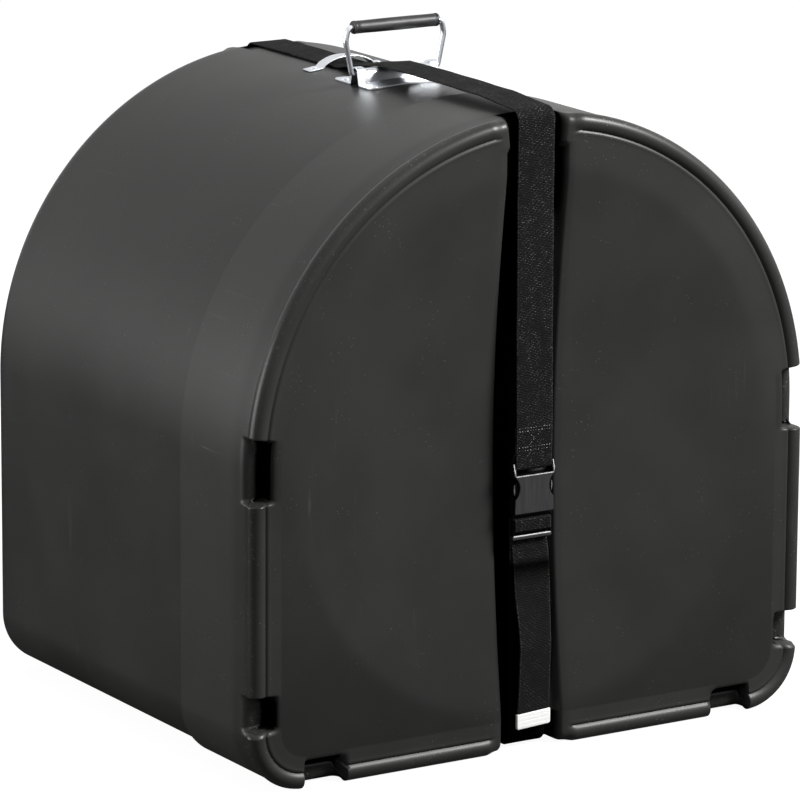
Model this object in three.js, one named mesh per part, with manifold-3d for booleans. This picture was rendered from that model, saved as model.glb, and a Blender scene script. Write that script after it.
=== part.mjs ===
// A hard drum case for a bass drum: a D-shaped shell that stands on its flat side, a telescoping lid over
// its mouth, one webbing strap round both with a side-release buckle, and a bail handle on top.
// Millimetres, +Z up. The lid's face looks towards -Y and the origin lies under the middle of the case.
import * as THREE from "three";
import { mergeVertices } from "three/addons/utils/BufferGeometryUtils.js";
import Module from "manifold-3d";

const wasm = await Module();
wasm.setup();

// Driving dimensions of the case
const caseWidth = 673;
const caseHeight = 667;
const caseDepth = 555;
const wall = 4;
const lidDepth = 146;
const mouthSetback = 42; // from the lid's front to the rim of the shell inside it
const slideClearance = 0.5; // between the lid's skirt and the shell
const baseCornerRadius = 64;
const rearRounding = 18;
const touchGap = 0.3; // between pieces that rest on each other
const overrun = 6; // how far a cutter reaches past the surface it cuts

// Rolled rim round the lid's face
const beadRadius = 9;
const beadSideProud = 1.5;
const beadFaceProud = 2.5;

// Dished panels, as drawn in when the moulding cools
const dishRadius = 300;
const dishDepth = 20;
const dishCentreHeight = 322;
const rearDishRadius = 285;
const rearDishDepth = 12;

// Strap channel down the face and the back
const channelLipHalf = 37;
const channelFloorHalf = 32;
const channelLipRadius = 7;
const channelDepth = 9.5;
const channelFootExtra = 4; // how much deeper the channel gets towards the base
const channelFootShare = 0.2; // of the height, over which the channel deepens towards its foot
const channelEdgeRadius = 10; // rounding where the strap turns over the case's edge
const lidGrooveHalf = 28; // strap groove under the lid
const lidGrooveDepth = 4.5;
const shellGrooveHalf = 34;
const shellGrooveDepth = 5;

// Interlock notches in the rolled rim
const notchSeatDepth = 17;
const notchSeatWidth = 17;
const notchSlotWidth = 7;
const notchSlotDepth = 30;
const notchLipRadius = 5;
const sideNotchHeight = 338;
const sideNotchLength = 58;
const lowNotchHeight = 84;
const lowNotchLength = 32;
const baseNotchOffset = 250;
const baseNotchLength = 42;

// Moulded feet under the back of the shell
const footWidth = 70;
const footLength = 46;
const footOffset = 190;
const footSetback = 40;

// Webbing
const strapWidth = 44;
const strapTopSetback = 8; // of the strap from the rim's plane, below the case's top edge
const strapFootSetback = 13.2; // the same above the base
const strapBow = 1.2; // how far the stiff strap bows up in front of the handle
const strapShoulder = 195; // where its top run starts to bend down, in front of the handle
const strapShoulderDrop = 2;
const strapFrontRise = 2.6; // of the strap over the rim's top
const longBend = 60;
const strapThickness = 2.2;
const tipLength = 16;
const tipThickness = 2.8;
const tailEndHeight = 25;
const tailLean = 10.5; // how far the tail swings out from the buckle
const loopLength = 38; // sewn loop at the socket

// Side-release buckle
const buckleWidth = 48.6;
const buckleWaist = 43;
const buckleThickness = 13;
const buckleTopHeight = 306;
const buckleProud = -9; // centre of the buckle in front of the rim's plane, or less behind it
const socketLength = 53.2;
const socketBarHeight = 6;
const socketBarThickness = 5;
const socketSlotHeight = 7;
const socketWall = 2.6;
const windowHeight = 17;
const windowTop = 287;
const plugWidth = 47.6;
const plugBarThickness = 5;
const plugBaseHeight = 3.3;
const upperSlotHeight = 4.2;
const middleBarHeight = 9.3;
const lowerSlotHeight = 6.3;
const lowerBarHeight = 4;
const slotSideWall = 1.5;
const guideHalf = 3;
const guideLength = 26;
const armThickness = 3;
const armDepth = 7;
const armRootOffset = 13;
const padReach = 3.4; // how far a latch pad stands out of the socket's tunnel
const bucklePlay = 0.5;

// Handle plate, bail and grip
const handleOffset = 0.4; // of the bail's axis behind the middle of the case
const plateLength = 99;
const plateThickness = 1.6;
const frontWingReach = 37;
const rearWingReach = 43;
const humpWidth = 13;
const humpHeight = 14.5;
const saddleHeight = 12;
const wireRadius = 2.9;
const pivotHeight = 9; // above the plate's underside
const legPlay = 0.4;
const bailShoulder = 60.5;
const bailShoulderHeight = 44;
const bailCorner = 57;
const gripHeight = 58; // of the grip's centre above the plate's underside
const gripLength = 104;
const gripRadius = 7;
const footBend = 4;
const shoulderBend = 16;
const cornerBend = 6;
const rivetHeadRadius = 4;
const rivetHeadHeight = 1.6;
const rivetShankRadius = 2;
const rivetTail = 2.5;
const rivetTailRadius = 3;
const rivetInset = 7;

// Shape of the plate, as shares of its half length, its two reaches and the hump's half width
const plateColumnShares = [
  [1, 0.76, 0.84, 1],
  [0.94, 0.9, 0.98, 1],
  [0.81, 0.97, 0.95, 1],
  [0.78, 0.98, 0.92, 0],
  [0.58, 1, 0.72, 0],
  [0.52, 1, 0.26, 0],
  [0.26, 1, 0.26, 0],
];
const humpProfileShares = [
  [1, 0],
  [0.84, 0.55],
  [0.62, 0.88],
  [0.3, 1],
];

// Strap bridge
const bridgeDistance = 99; // behind the bail's axis
const bridgeWidth = 16;
const bridgeThickness = 1.6;
const bridgeSpan = 96;
const bridgeRise = 9;
const bridgeStep = 3.4;
const bridgeFoot = 16;
const bridgeRivetInset = 9;

// Facet counts
const topFacets = 40;
const cornerFacets = 6;
const bendFacets = 5;
const roundFacets = 16;
const lipFacets = 3;

// Places worked out from the sizes above
const frontShift = Math.max(buckleProud + buckleThickness / 2, 0) / 2;
const frontY = frontShift - caseDepth / 2;
const backY = frontShift + caseDepth / 2;
const skirtInset = beadSideProud;
const shellInset = skirtInset + wall + slideClearance;
const skirtRearY = frontY + lidDepth;
const mouthY = frontY + mouthSetback;
const panelY = frontY + beadFaceProud;
const lidTop = caseHeight - skirtInset;
const shellTop = caseHeight - shellInset;
const shellRadius = caseWidth / 2 - shellInset;
const shellAxisZ = shellTop - shellRadius;
const plateBase = shellTop + touchGap;
const pivotZ = plateBase + pivotHeight;
const strapOffset = touchGap + strapThickness / 2;
const buckleY = frontY - buckleProud;
const socketMouthZ = buckleTopHeight - socketLength;

// Materials
const plastic = (color, roughness) => new THREE.MeshStandardMaterial({ color, roughness, metalness: 0 });
const shellPlastic = plastic(0x3b3c3b, 0.48);
const lidPlastic = plastic(0x3d3e3d, 0.46);
const webbing = plastic(0x17181a, 0.85);
const bucklePlastic = plastic(0x101113, 0.4);
const tipPlastic = plastic(0xf2f2ef, 0.6);
const gripPlastic = plastic(0x2b2b2a, 0.55);
const zinc = () => new THREE.MeshStandardMaterial({ color: 0xc9d0d6, roughness: 0.28, metalness: 1 });

const part = new THREE.Group();

/** A closed three.js geometry as a solid, turned the right way out. */
function solid(geometry) {
  const bare = geometry.clone();
  bare.deleteAttribute("normal");
  bare.deleteAttribute("uv");
  const merged = mergeVertices(bare, 1e-4);
  const triVerts = new Uint32Array(merged.index.array);
  const make = () =>
    new wasm.Manifold(
      new wasm.Mesh({
        numProp: 3,
        vertProperties: new Float32Array(merged.attributes.position.array),
        triVerts,
      }),
    );
  const made = make();
  if (made.volume() > 0) {
    return made;
  }
  for (let i = 0; i < triVerts.length; i += 3) {
    [triVerts[i + 1], triVerts[i + 2]] = [triVerts[i + 2], triVerts[i + 1]];
  }
  return make();
}

/** A solid back as a named mesh in the part. */
function addPiece(name, body, material) {
  const data = body.getMesh();
  const positions = new Float32Array(data.numVert * 3);
  for (let i = 0; i < data.numVert; i++) {
    for (let k = 0; k < 3; k++) {
      positions[3 * i + k] = data.vertProperties[data.numProp * i + k];
    }
  }
  const geometry = new THREE.BufferGeometry();
  geometry.setAttribute("position", new THREE.BufferAttribute(positions, 3));
  geometry.setIndex(new THREE.BufferAttribute(new Uint32Array(data.triVerts), 1));
  geometry.computeVertexNormals();
  const mesh = new THREE.Mesh(geometry, material);
  mesh.name = name;
  part.add(mesh);
  return mesh;
}

/** Even steps from a to b, both ends included. */
function steps(a, b, count) {
  return Array.from({ length: count + 1 }, (_, i) => a + ((b - a) * i) / count);
}

/** Points of an arc in a plane, by centre, radius and two angles. */
function arc(cx, cy, radius, from, to, count) {
  return steps(from, to, count).map((a) => [cx + radius * Math.cos(a), cy + radius * Math.sin(a)]);
}

/** Rings of as many points each, skinned into one geometry with fanned ends, or joined in a circle. */
function loft(rings, closed = false) {
  const count = rings[0].length;
  const points = rings.flat();
  const faces = [];
  const last = closed ? rings.length : rings.length - 1;
  for (let i = 0; i < last; i++) {
    const next = (i + 1) % rings.length;
    for (let j = 0; j < count; j++) {
      const k = (j + 1) % count;
      const corner = [i * count + j, i * count + k, next * count + j, next * count + k];
      faces.push(corner[0], corner[1], corner[2], corner[1], corner[3], corner[2]);
    }
  }
  if (!closed) {
    faces.push(...fan(rings[0], 0, true), ...fan(rings.at(-1), (rings.length - 1) * count, false));
  }
  const geometry = new THREE.BufferGeometry();
  const places = points.flatMap((p) => [p.x, p.y, p.z]);
  geometry.setAttribute("position", new THREE.Float32BufferAttribute(places, 3));
  geometry.setIndex(faces);
  return geometry;
}

/** Triangles that close the end of a loft, found in the ring's own flat outline. */
function fan(ring, first, turned) {
  const box3 = new THREE.Box3().setFromPoints(ring);
  const size = box3.getSize(new THREE.Vector3());
  const flat = ring.map((p) => {
    if (size.x <= Math.min(size.y, size.z)) {
      return new THREE.Vector2(p.y, p.z);
    }
    return size.y <= size.z ? new THREE.Vector2(p.z, p.x) : new THREE.Vector2(p.x, p.y);
  });
  const clockwise = THREE.ShapeUtils.isClockWise(flat);
  return THREE.ShapeUtils.triangulateShape(flat, []).flatMap(([a, b, c]) => {
    const straight = clockwise === turned;
    return straight ? [first + a, first + b, first + c] : [first + a, first + c, first + b];
  });
}

/** A flat outline of [u, v] points as a prism of a given depth along its third axis. */
function prism(outline, depth) {
  const shape = new THREE.Shape(outline.map(([u, v]) => new THREE.Vector2(u, v)));
  return new THREE.ExtrudeGeometry(shape, { depth, bevelEnabled: false, steps: 1 });
}

/** A prism from an outline in Y and Z, centred on the X axis. */
function prismAlongX(outline, width, x = 0) {
  const geometry = prism(outline, width);
  geometry.rotateX(Math.PI / 2);
  geometry.rotateZ(Math.PI / 2);
  return geometry.translate(x - width / 2, 0, 0);
}

/** A prism from an outline in X and Z, from y0 over a depth along +Y. */
function prismAlongY(outline, depth, y0) {
  const geometry = prism(outline, depth);
  geometry.rotateX(Math.PI / 2);
  return geometry.translate(0, y0 + depth, 0);
}

/** A box by its lowest and highest corners. */
function box([x0, y0, z0], [x1, y1, z1]) {
  const geometry = new THREE.BoxGeometry(x1 - x0, y1 - y0, z1 - z0);
  return geometry.translate((x0 + x1) / 2, (y0 + y1) / 2, (z0 + z1) / 2);
}

/** A straight round bar between two points. */
function rod(from, to, radius, facets = roundFacets) {
  const a = new THREE.Vector3(...from);
  const b = new THREE.Vector3(...to);
  const along = b.clone().sub(a);
  const geometry = new THREE.CylinderGeometry(radius, radius, along.length(), facets);
  const turn = new THREE.Quaternion().setFromUnitVectors(new THREE.Vector3(0, 1, 0), along.normalize());
  geometry.applyQuaternion(turn);
  return geometry.translate(...a.add(b).divideScalar(2).toArray());
}

/** The case's D outline, inset all round: a round top, straight sides and rounded base corners. */
function caseRing(inset, y) {
  const half = caseWidth / 2 - inset;
  const corner = baseCornerRadius - inset;
  const points = [
    ...arc(0, caseHeight - caseWidth / 2, half, 0, Math.PI, topFacets),
    ...arc(corner - half, inset + corner, corner, Math.PI, 1.5 * Math.PI, cornerFacets),
    ...arc(half - corner, inset + corner, corner, 1.5 * Math.PI, 2 * Math.PI, cornerFacets),
  ];
  return points.map(([x, z]) => new THREE.Vector3(x, y, z));
}

/** A solid through D outlines given as [inset, y] stations. */
function caseLoft(stations) {
  return solid(loft(stations.map(([inset, y]) => caseRing(inset, y))));
}

/** How far a dished panel lies behind its rim at a height on the centre line. */
function dishAt(z, radius, depth) {
  const share = Math.abs(z - dishCentreHeight) / radius;
  return share >= 1 ? 0 : depth * (1 - share ** 2);
}

/** The lens that a dished panel loses, on the plane at y, with its hollow towards inward (+1 or -1). */
function dishLens(y, inward, radius, depth, behind = 0) {
  const rings = 8;
  const profile = [
    [0, -overrun],
    [radius, -overrun],
    ...steps(1, 0, rings).map((share) => [radius * share, depth * (1 - share ** 2) + behind]),
  ];
  const lens = new THREE.LatheGeometry(profile.map(([r, h]) => new THREE.Vector2(r, h)), 2 * roundFacets);
  if (inward < 0) {
    lens.rotateX(Math.PI);
  }
  return solid(lens.translate(0, y, dishCentreHeight));
}

/** The strap channel's cutter, run up the face or the back of the case. */
function channelCutter(y, inward, surfaceAt, top, base, grow) {
  const heights = [
    base - overrun,
    ...steps(base, base + channelEdgeRadius, bendFacets),
    ...steps(base + channelEdgeRadius, top - channelEdgeRadius, 2 * roundFacets).slice(1),
    ...steps(top - channelEdgeRadius, top, bendFacets).slice(1),
    top + overrun,
  ];
  const rings = heights.map((z) => {
    const held = Math.min(Math.max(z, base), top);
    const surface = surfaceAt(held);
    const towardsFoot = Math.max(0, 1 - (held - base) / (top - base) / channelFootShare);
    const nearEdge = Math.max(0, channelEdgeRadius - Math.min(held - base, top - held));
    const turnBack = channelEdgeRadius - Math.sqrt(channelEdgeRadius ** 2 - nearEdge ** 2);
    const floor = surface + channelDepth + channelFootExtra * towardsFoot ** 2 + turnBack + grow;
    const lip = channelLipHalf + grow;
    const lipCentre = lip + channelLipRadius;
    const lipEdge = arc(
      lipCentre, surface + channelLipRadius, channelLipRadius, 1.5 * Math.PI, Math.PI, lipFacets,
    );
    const half = [
      [lip + channelLipRadius, -overrun],
      ...(grow ? [[lip + channelLipRadius, surface + grow]] : lipEdge),
      [channelFloorHalf + grow, floor],
    ];
    const ring = [...half, ...half.map(([x, d]) => [-x, d]).reverse()];
    return ring.map(([x, d]) => new THREE.Vector3(x, y + inward * d, z));
  });
  return solid(loft(rings));
}

/** Outline of an interlock notch across the rim: u inwards from the side, v back from the face. */
function notchOutline(grow) {
  const seat = notchSeatWidth - grow;
  const slot = notchSeatWidth + notchSlotWidth + grow;
  const lip = grow ? [[slot, -overrun]] : [
    [slot + notchLipRadius, -overrun],
    ...arc(
      slot + notchLipRadius,
      notchLipRadius + beadFaceProud,
      notchLipRadius,
      1.5 * Math.PI,
      Math.PI,
      lipFacets,
    ),
  ];
  return [
    [-overrun, -overrun],
    ...lip,
    [slot, notchSlotDepth + grow],
    [grow ? -overrun : seat, notchSlotDepth + grow],
    ...(grow ? [] : [[seat, notchSeatDepth], [-overrun, notchSeatDepth]]),
  ];
}

/** All six notches as one cutter, or grown by the wall to keep a wall behind them. */
function notchCutter(grow) {
  const cutters = [];
  for (const [height, length] of [[sideNotchHeight, sideNotchLength], [lowNotchHeight, lowNotchLength]]) {
    for (const side of [-1, 1]) {
      const cut = prism(notchOutline(grow), length + 2 * grow);
      cut.translate(-caseWidth / 2, frontY, height - length / 2 - grow);
      if (side > 0) {
        cut.scale(-1, 1, 1);
      }
      cutters.push(solid(cut));
    }
  }
  for (const side of [-1, 1]) {
    const along = prism(notchOutline(grow), baseNotchLength + 2 * grow);
    const places = along.attributes.position;
    const first = side * baseNotchOffset - baseNotchLength / 2 - grow;
    for (let i = 0; i < places.count; i++) {
      places.setXYZ(i, first + places.getZ(i), frontY + places.getY(i), places.getX(i));
    }
    cutters.push(solid(along));
  }
  return cutters.reduce((all, next) => all.add(next));
}

/** Stations round the rolled rim, from the panel over the bead to the skirt. */
function beadStations() {
  const panelInset = beadRadius + Math.sqrt(beadRadius ** 2 - (beadRadius - beadFaceProud) ** 2);
  const skirtStart = beadRadius + Math.sqrt(beadRadius ** 2 - (beadRadius - beadSideProud) ** 2);
  const from = Math.asin((beadFaceProud - beadRadius) / beadRadius);
  const to = -Math.PI - Math.asin((skirtStart - beadRadius) / beadRadius);
  const turn = (a, b, count) => arc(beadRadius, beadRadius, beadRadius, a, b, count);
  const round = [
    ...turn(from, -Math.PI / 2, 2).slice(0, -1),
    ...turn(-Math.PI / 2, -Math.PI, 4),
    ...turn(-Math.PI, to, 2).slice(1),
  ];
  round[0] = [panelInset, beadFaceProud];
  round[round.length - 1] = [skirtInset, skirtStart];
  return round.map(([inset, depth]) => [inset, frontY + depth]);
}

/** The telescoping lid: rolled rim, dished panel, strap channel, notches and an open hollow behind. */
function buildLid() {
  const surface = (z) => beadFaceProud + dishAt(z, dishRadius, dishDepth);
  const grooveBase = skirtInset + lidGrooveDepth;
  const outer = caseLoft([...beadStations(), [skirtInset, skirtRearY]]);
  const groove = solid(box(
    [-lidGrooveHalf, frontY - overrun, -overrun],
    [lidGrooveHalf, skirtRearY + overrun, grooveBase],
  ));
  const cuts = dishLens(panelY, 1, dishRadius, dishDepth)
    .add(channelCutter(frontY, 1, surface, lidTop, grooveBase, 0))
    .add(notchCutter(0))
    .add(groove);
  const innerInset = skirtInset + wall;
  const hollow = caseLoft([
    [innerInset + beadRadius, panelY + wall],
    [innerInset, panelY + wall + beadRadius],
    [innerInset, skirtRearY + overrun],
  ]);
  const kept = dishLens(panelY, 1, dishRadius, dishDepth, wall)
    .add(channelCutter(frontY, 1, surface, lidTop, grooveBase, wall))
    .add(notchCutter(wall))
    .add(solid(box(
      [-lidGrooveHalf - wall, frontY - overrun, -overrun],
      [lidGrooveHalf + wall, skirtRearY + 2 * overrun, grooveBase + wall],
    )));
  const body = outer.subtract(cuts).subtract(hollow.subtract(kept));
  return addPiece("front_lid", body, lidPlastic);
}

/** The rear shell: a deep D-shaped tub with a dished back, strap channel, base groove and moulded feet. */
function buildShell() {
  const surface = (z) => dishAt(z, rearDishRadius, rearDishDepth);
  const rounding = arc(
    shellInset + rearRounding, -rearRounding, rearRounding, Math.PI, Math.PI / 2, bendFacets,
  );
  const outer = caseLoft([[shellInset, mouthY], ...rounding.map(([inset, d]) => [inset, backY + d])]);
  const grooveBase = shellInset + shellGrooveDepth;
  const grooveBox = (grow) => solid(box(
    [-shellGrooveHalf - grow, mouthY - overrun, -overrun],
    [shellGrooveHalf + grow, backY + overrun, grooveBase + grow],
  ));
  const cuts = dishLens(backY, -1, rearDishRadius, rearDishDepth)
    .add(channelCutter(backY, -1, surface, shellTop, grooveBase, 0))
    .add(grooveBox(0));
  const innerRounding = arc(
    shellInset + rearRounding, -rearRounding, rearRounding - wall, Math.PI, Math.PI / 2, bendFacets,
  );
  const hollow = caseLoft([
    [shellInset + wall, mouthY - overrun],
    ...innerRounding.map(([inset, d]) => [inset, backY + d]),
  ]);
  const kept = dishLens(backY, -1, rearDishRadius, rearDishDepth, wall)
    .add(channelCutter(backY, -1, surface, shellTop, grooveBase, wall))
    .add(grooveBox(wall));
  let body = outer.subtract(cuts).subtract(hollow.subtract(kept)).subtract(rivetHoles());
  for (const side of [-1, 1]) {
    const x = side * footOffset;
    const y = backY - footSetback;
    const foot = box([x - footWidth / 2, y - footLength, 0], [x + footWidth / 2, y, shellInset + wall / 2]);
    body = body.add(solid(foot));
  }
  return addPiece("rear_shell", body, shellPlastic);
}

/** A path through [y, z] corners with its bends rounded by one radius each. */
function bentPath(corners) {
  const path = [];
  corners.forEach(([y, z, radius], i) => {
    const here = new THREE.Vector2(y, z);
    if (!radius || i === 0 || i === corners.length - 1) {
      path.push(here);
      return;
    }
    const back = new THREE.Vector2(...corners[i - 1].slice(0, 2)).sub(here).normalize();
    const on = new THREE.Vector2(...corners[i + 1].slice(0, 2)).sub(here).normalize();
    const half = Math.acos(THREE.MathUtils.clamp(back.dot(on), -1, 1)) / 2;
    const reach = radius / Math.tan(half);
    const from = here.clone().addScaledVector(back, reach);
    const to = here.clone().addScaledVector(on, reach);
    const centre = here.clone().addScaledVector(back.clone().add(on).normalize(), radius / Math.sin(half));
    const start = from.sub(centre).angle();
    let sweep = to.sub(centre).angle() - start;
    sweep = ((sweep + 3 * Math.PI) % (2 * Math.PI)) - Math.PI;
    for (const share of steps(0, 1, bendFacets)) {
      const angle = start + sweep * share;
      const spoke = new THREE.Vector2(Math.cos(angle), Math.sin(angle)).multiplyScalar(radius);
      path.push(centre.clone().add(spoke));
    }
  });
  return path;
}

/** A flat band of webbing or sheet that follows a path in Y and Z. */
function band(corners, thickness, width) {
  const path = bentPath(corners);
  const normals = path.map((p, i) => {
    const before = path[Math.max(i - 1, 0)];
    const after = path[Math.min(i + 1, path.length - 1)];
    const along = after.clone().sub(before).normalize();
    return new THREE.Vector2(-along.y, along.x);
  });
  const side = (sign) => path.map((p, i) => {
    const q = p.clone().addScaledVector(normals[i], (sign * thickness) / 2);
    return [q.x, q.y];
  });
  return solid(prismAlongX([...side(1), ...side(-1).reverse()], width));
}

// Levels that the webbing runs at
const topRun = shellTop + strapOffset;
const saddleRun = plateBase + saddleHeight + plateThickness + strapOffset + touchGap;
const bowRun = saddleRun + strapBow;
const baseRun = skirtInset + lidGrooveDepth - strapOffset;
const turnRadius = channelEdgeRadius + strapOffset;
const faceTopY = frontY + strapTopSetback;
const faceFootY = frontY + strapFootSetback;
const backRunY = backY - channelDepth + strapOffset;
const bridgeY = handleOffset + bridgeDistance;

/** The strap on the shell: along the top over the handle plate, down the back and under the base. */
function buildRearStrap() {
  const corners = [
    [skirtRearY + touchGap, bowRun],
    [handleOffset - frontWingReach, bowRun, longBend],
    [handleOffset - humpWidth / 4, saddleRun, longBend],
    [handleOffset + humpWidth / 4, saddleRun, turnRadius],
    [bridgeY - bridgeWidth, topRun, longBend],
    [backRunY, topRun, turnRadius],
    [backRunY, baseRun, turnRadius],
    [skirtRearY + touchGap, baseRun],
  ];
  return addPiece("strap_rear", band(corners, strapThickness, strapWidth), webbing);
}

const socketSlotTop = buckleTopHeight - socketBarHeight;
const layerGap = socketBarThickness / 2 + strapOffset;

/** The strap on the lid's top and upper face, ending in a sewn loop round the socket's bar. */
function buildUpperStrap() {
  const joinZ = buckleTopHeight + loopLength;
  const under = socketSlotTop - strapOffset;
  const run = band([
    [skirtRearY, bowRun],
    [handleOffset - strapShoulder, bowRun - strapShoulderDrop, longBend],
    [faceTopY, caseHeight + strapFrontRise, turnRadius],
    [buckleY - layerGap, joinZ, longBend],
    [buckleY - layerGap, buckleTopHeight],
  ], strapThickness, strapWidth);
  const loop = band([
    [buckleY - layerGap, joinZ],
    [buckleY - layerGap, under, strapOffset],
    [buckleY + layerGap, under, strapOffset],
    [buckleY + layerGap, buckleTopHeight + strapOffset, strapOffset],
    [buckleY - layerGap + strapThickness / 2, joinZ],
  ], strapThickness, strapWidth);
  return addPiece("strap_upper", run.add(loop), webbing);
}

// Heights on the plug, from its base down
const plugBaseZ = socketMouthZ - bucklePlay;
const upperSlotZ = plugBaseZ - plugBaseHeight;
const middleBarZ = upperSlotZ - upperSlotHeight;
const lowerSlotZ = middleBarZ - middleBarHeight;
const lowerBarZ = lowerSlotZ - lowerSlotHeight;
const plugFootZ = lowerBarZ - lowerBarHeight;
const barRun = plugBarThickness / 2 + strapOffset;
const innerRunY = buckleY + barRun;
const outerRunY = innerRunY + strapThickness + touchGap;

/** The lower strap: under the lid, up the face, round the plug's middle bar and behind its lower bar. */
function buildLowerStrap() {
  const through = middleBarZ + strapOffset;
  const back = lowerSlotZ - strapOffset;
  const corners = [
    [skirtRearY, baseRun],
    [faceFootY, baseRun, turnRadius],
    [outerRunY, plugFootZ - lowerBarHeight, longBend],
    [outerRunY, through, strapOffset],
    [buckleY - barRun, through, strapOffset],
    [buckleY - barRun, back, strapOffset],
    [innerRunY, back, strapOffset],
    [innerRunY, plugFootZ - touchGap],
  ];
  return addPiece("strap_lower", band(corners, strapThickness, strapWidth), webbing);
}

/** The free tail in front of the lower strap, and the white end that finishes it. */
function buildTail() {
  const endY = innerRunY - tailLean;
  const tipTop = tailEndHeight + tipLength;
  const corners = [
    [innerRunY, plugFootZ - 2 * touchGap],
    [innerRunY, plugFootZ - loopLength / 2, longBend],
    [endY, plugFootZ - 3 * loopLength, longBend],
    [endY, tipTop + touchGap],
  ];
  addPiece("strap_tail", band(corners, strapThickness, strapWidth), webbing);
  const tip = band([[endY, tipTop], [endY, tailEndHeight]], tipThickness, strapWidth);
  return addPiece("strap_tip", tip, tipPlastic);
}

/** Outline of the buckle's socket in X and Z, waisted where the fingers press. */
function socketOutline() {
  const half = buckleWidth / 2;
  const waist = buckleWaist / 2;
  const drop = socketLength / 4;
  const right = [
    [half - socketWall, buckleTopHeight],
    [half, buckleTopHeight - socketWall],
    [half, buckleTopHeight - drop],
    [waist, windowTop - windowHeight / 2 + socketWall],
    [waist, windowTop - windowHeight / 2 - socketWall],
    [half - socketWall / 2, windowTop - windowHeight - socketWall],
    [half - socketWall / 2, socketMouthZ],
  ];
  return [...right, ...right.map(([x, z]) => [-x, z]).reverse()];
}

/** The socket: a hollow body with a bar for the sewn strap and a window each side for the latch pads. */
function buildSocket() {
  const front = buckleY - buckleThickness / 2;
  const back = buckleY + buckleThickness / 2;
  const slotHalf = strapWidth / 2 + bucklePlay;
  const slotTop = socketSlotTop;
  const tunnelHalf = buckleWaist / 2 - socketWall;
  const tunnelTop = slotTop - socketSlotHeight - socketWall;
  const body = solid(prismAlongY(socketOutline(), buckleThickness, front));
  const slot = box(
    [-slotHalf, front - overrun, slotTop - socketSlotHeight],
    [slotHalf, back + overrun, slotTop],
  );
  const thinFront = box(
    [-slotHalf, front - overrun, slotTop - overrun / 2],
    [slotHalf, buckleY - socketBarThickness / 2, buckleTopHeight + overrun],
  );
  const thinBack = box(
    [-slotHalf, buckleY + socketBarThickness / 2, slotTop - overrun / 2],
    [slotHalf, back + overrun, buckleTopHeight + overrun],
  );
  const tunnel = box(
    [-tunnelHalf, front + socketWall, socketMouthZ - overrun],
    [tunnelHalf, back - socketWall, tunnelTop],
  );
  const windows = box(
    [-buckleWidth, front + socketWall, windowTop - windowHeight],
    [buckleWidth, back - socketWall, windowTop],
  );
  const cuts = [slot, thinFront, thinBack, tunnel, windows];
  const made = cuts.reduce((all, cut) => all.subtract(solid(cut)), body);
  return addPiece("buckle_socket", made, bucklePlastic);
}

/** The plug: base, ladder of two slots and the centre guide that enters the socket. */
function buildPlug() {
  const half = plugWidth / 2;
  const front = buckleY - plugBarThickness / 2;
  const back = buckleY + plugBarThickness / 2;
  const slotHalf = half - slotSideWall;
  const frame = box([-half, front, plugFootZ], [half, back, plugBaseZ]);
  const upperSlot = box([-slotHalf, front - overrun, middleBarZ], [slotHalf, back + overrun, upperSlotZ]);
  const lowerSlot = box([-slotHalf, front - overrun, lowerBarZ], [slotHalf, back + overrun, lowerSlotZ]);
  const guide = box(
    [-guideHalf, front, plugBaseZ - plugBaseHeight / 2],
    [guideHalf, back, plugBaseZ + guideLength],
  );
  const body = solid(frame).subtract(solid(upperSlot)).subtract(solid(lowerSlot)).add(solid(guide));
  return addPiece("buckle_plug", body, bucklePlastic);
}

/** A springy latch arm beside the guide, with the pad that fills the socket's window. */
function buildArm(name, side) {
  const tunnelHalf = buckleWaist / 2 - socketWall;
  const padInner = tunnelHalf - armThickness - bucklePlay;
  const padTop = windowTop - bucklePlay;
  const padFoot = windowTop - windowHeight + bucklePlay;
  const outline = [
    [armRootOffset - armThickness / 2, plugBaseZ + touchGap],
    [armRootOffset + armThickness / 2, plugBaseZ + touchGap],
    [tunnelHalf - bucklePlay, padFoot],
    [tunnelHalf + padReach, padFoot + padReach / 2],
    [tunnelHalf + padReach, padTop - padReach / 2],
    [tunnelHalf - bucklePlay, padTop],
    [padInner - armThickness, padTop],
    [padInner, padFoot],
  ].map(([x, z]) => [side * x, z]);
  return addPiece(name, solid(prismAlongY(outline, armDepth, buckleY - armDepth / 2)), bucklePlastic);
}

/** How far the shell's round top has fallen at a distance from its middle. */
function fallAt(x) {
  return shellRadius - Math.sqrt(shellRadius ** 2 - x ** 2);
}

/** A geometry made round the Z axis from the shell's surface up, stood square on the shell at x and y. */
function onShell(geometry, x, y) {
  geometry.translate(0, 0, shellRadius);
  geometry.rotateY(Math.asin(x / shellRadius));
  return geometry.translate(0, y, shellAxisZ);
}

/** Places of the four rivets through the handle plate. */
function plateRivets() {
  const x = plateLength / 2 - rivetInset;
  return [
    ["plate_rivet_front_left", -x, handleOffset - frontWingReach + rivetInset],
    ["plate_rivet_front_right", x, handleOffset - frontWingReach + rivetInset],
    ["plate_rivet_rear_left", -x, handleOffset + rearWingReach - 2 * rivetInset],
    ["plate_rivet_rear_right", x, handleOffset + rearWingReach - 2 * rivetInset],
  ];
}

/** Places of the two rivets of the strap bridge. */
function bridgeRivets() {
  const x = bridgeSpan / 2 - bridgeRivetInset;
  return [
    ["bridge_rivet_left", -x, bridgeY],
    ["bridge_rivet_right", x, bridgeY],
  ];
}

/** The holes that the rivets pass through. */
function rivetHoles() {
  const reach = shellRadius / 2;
  const holes = [...plateRivets(), ...bridgeRivets()].map(([, x, y]) => {
    const hole = rod([0, 0, -reach], [0, 0, rearWingReach], rivetShankRadius + touchGap);
    return solid(onShell(hole, x, y));
  });
  return holes.reduce((all, next) => all.add(next));
}

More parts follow.
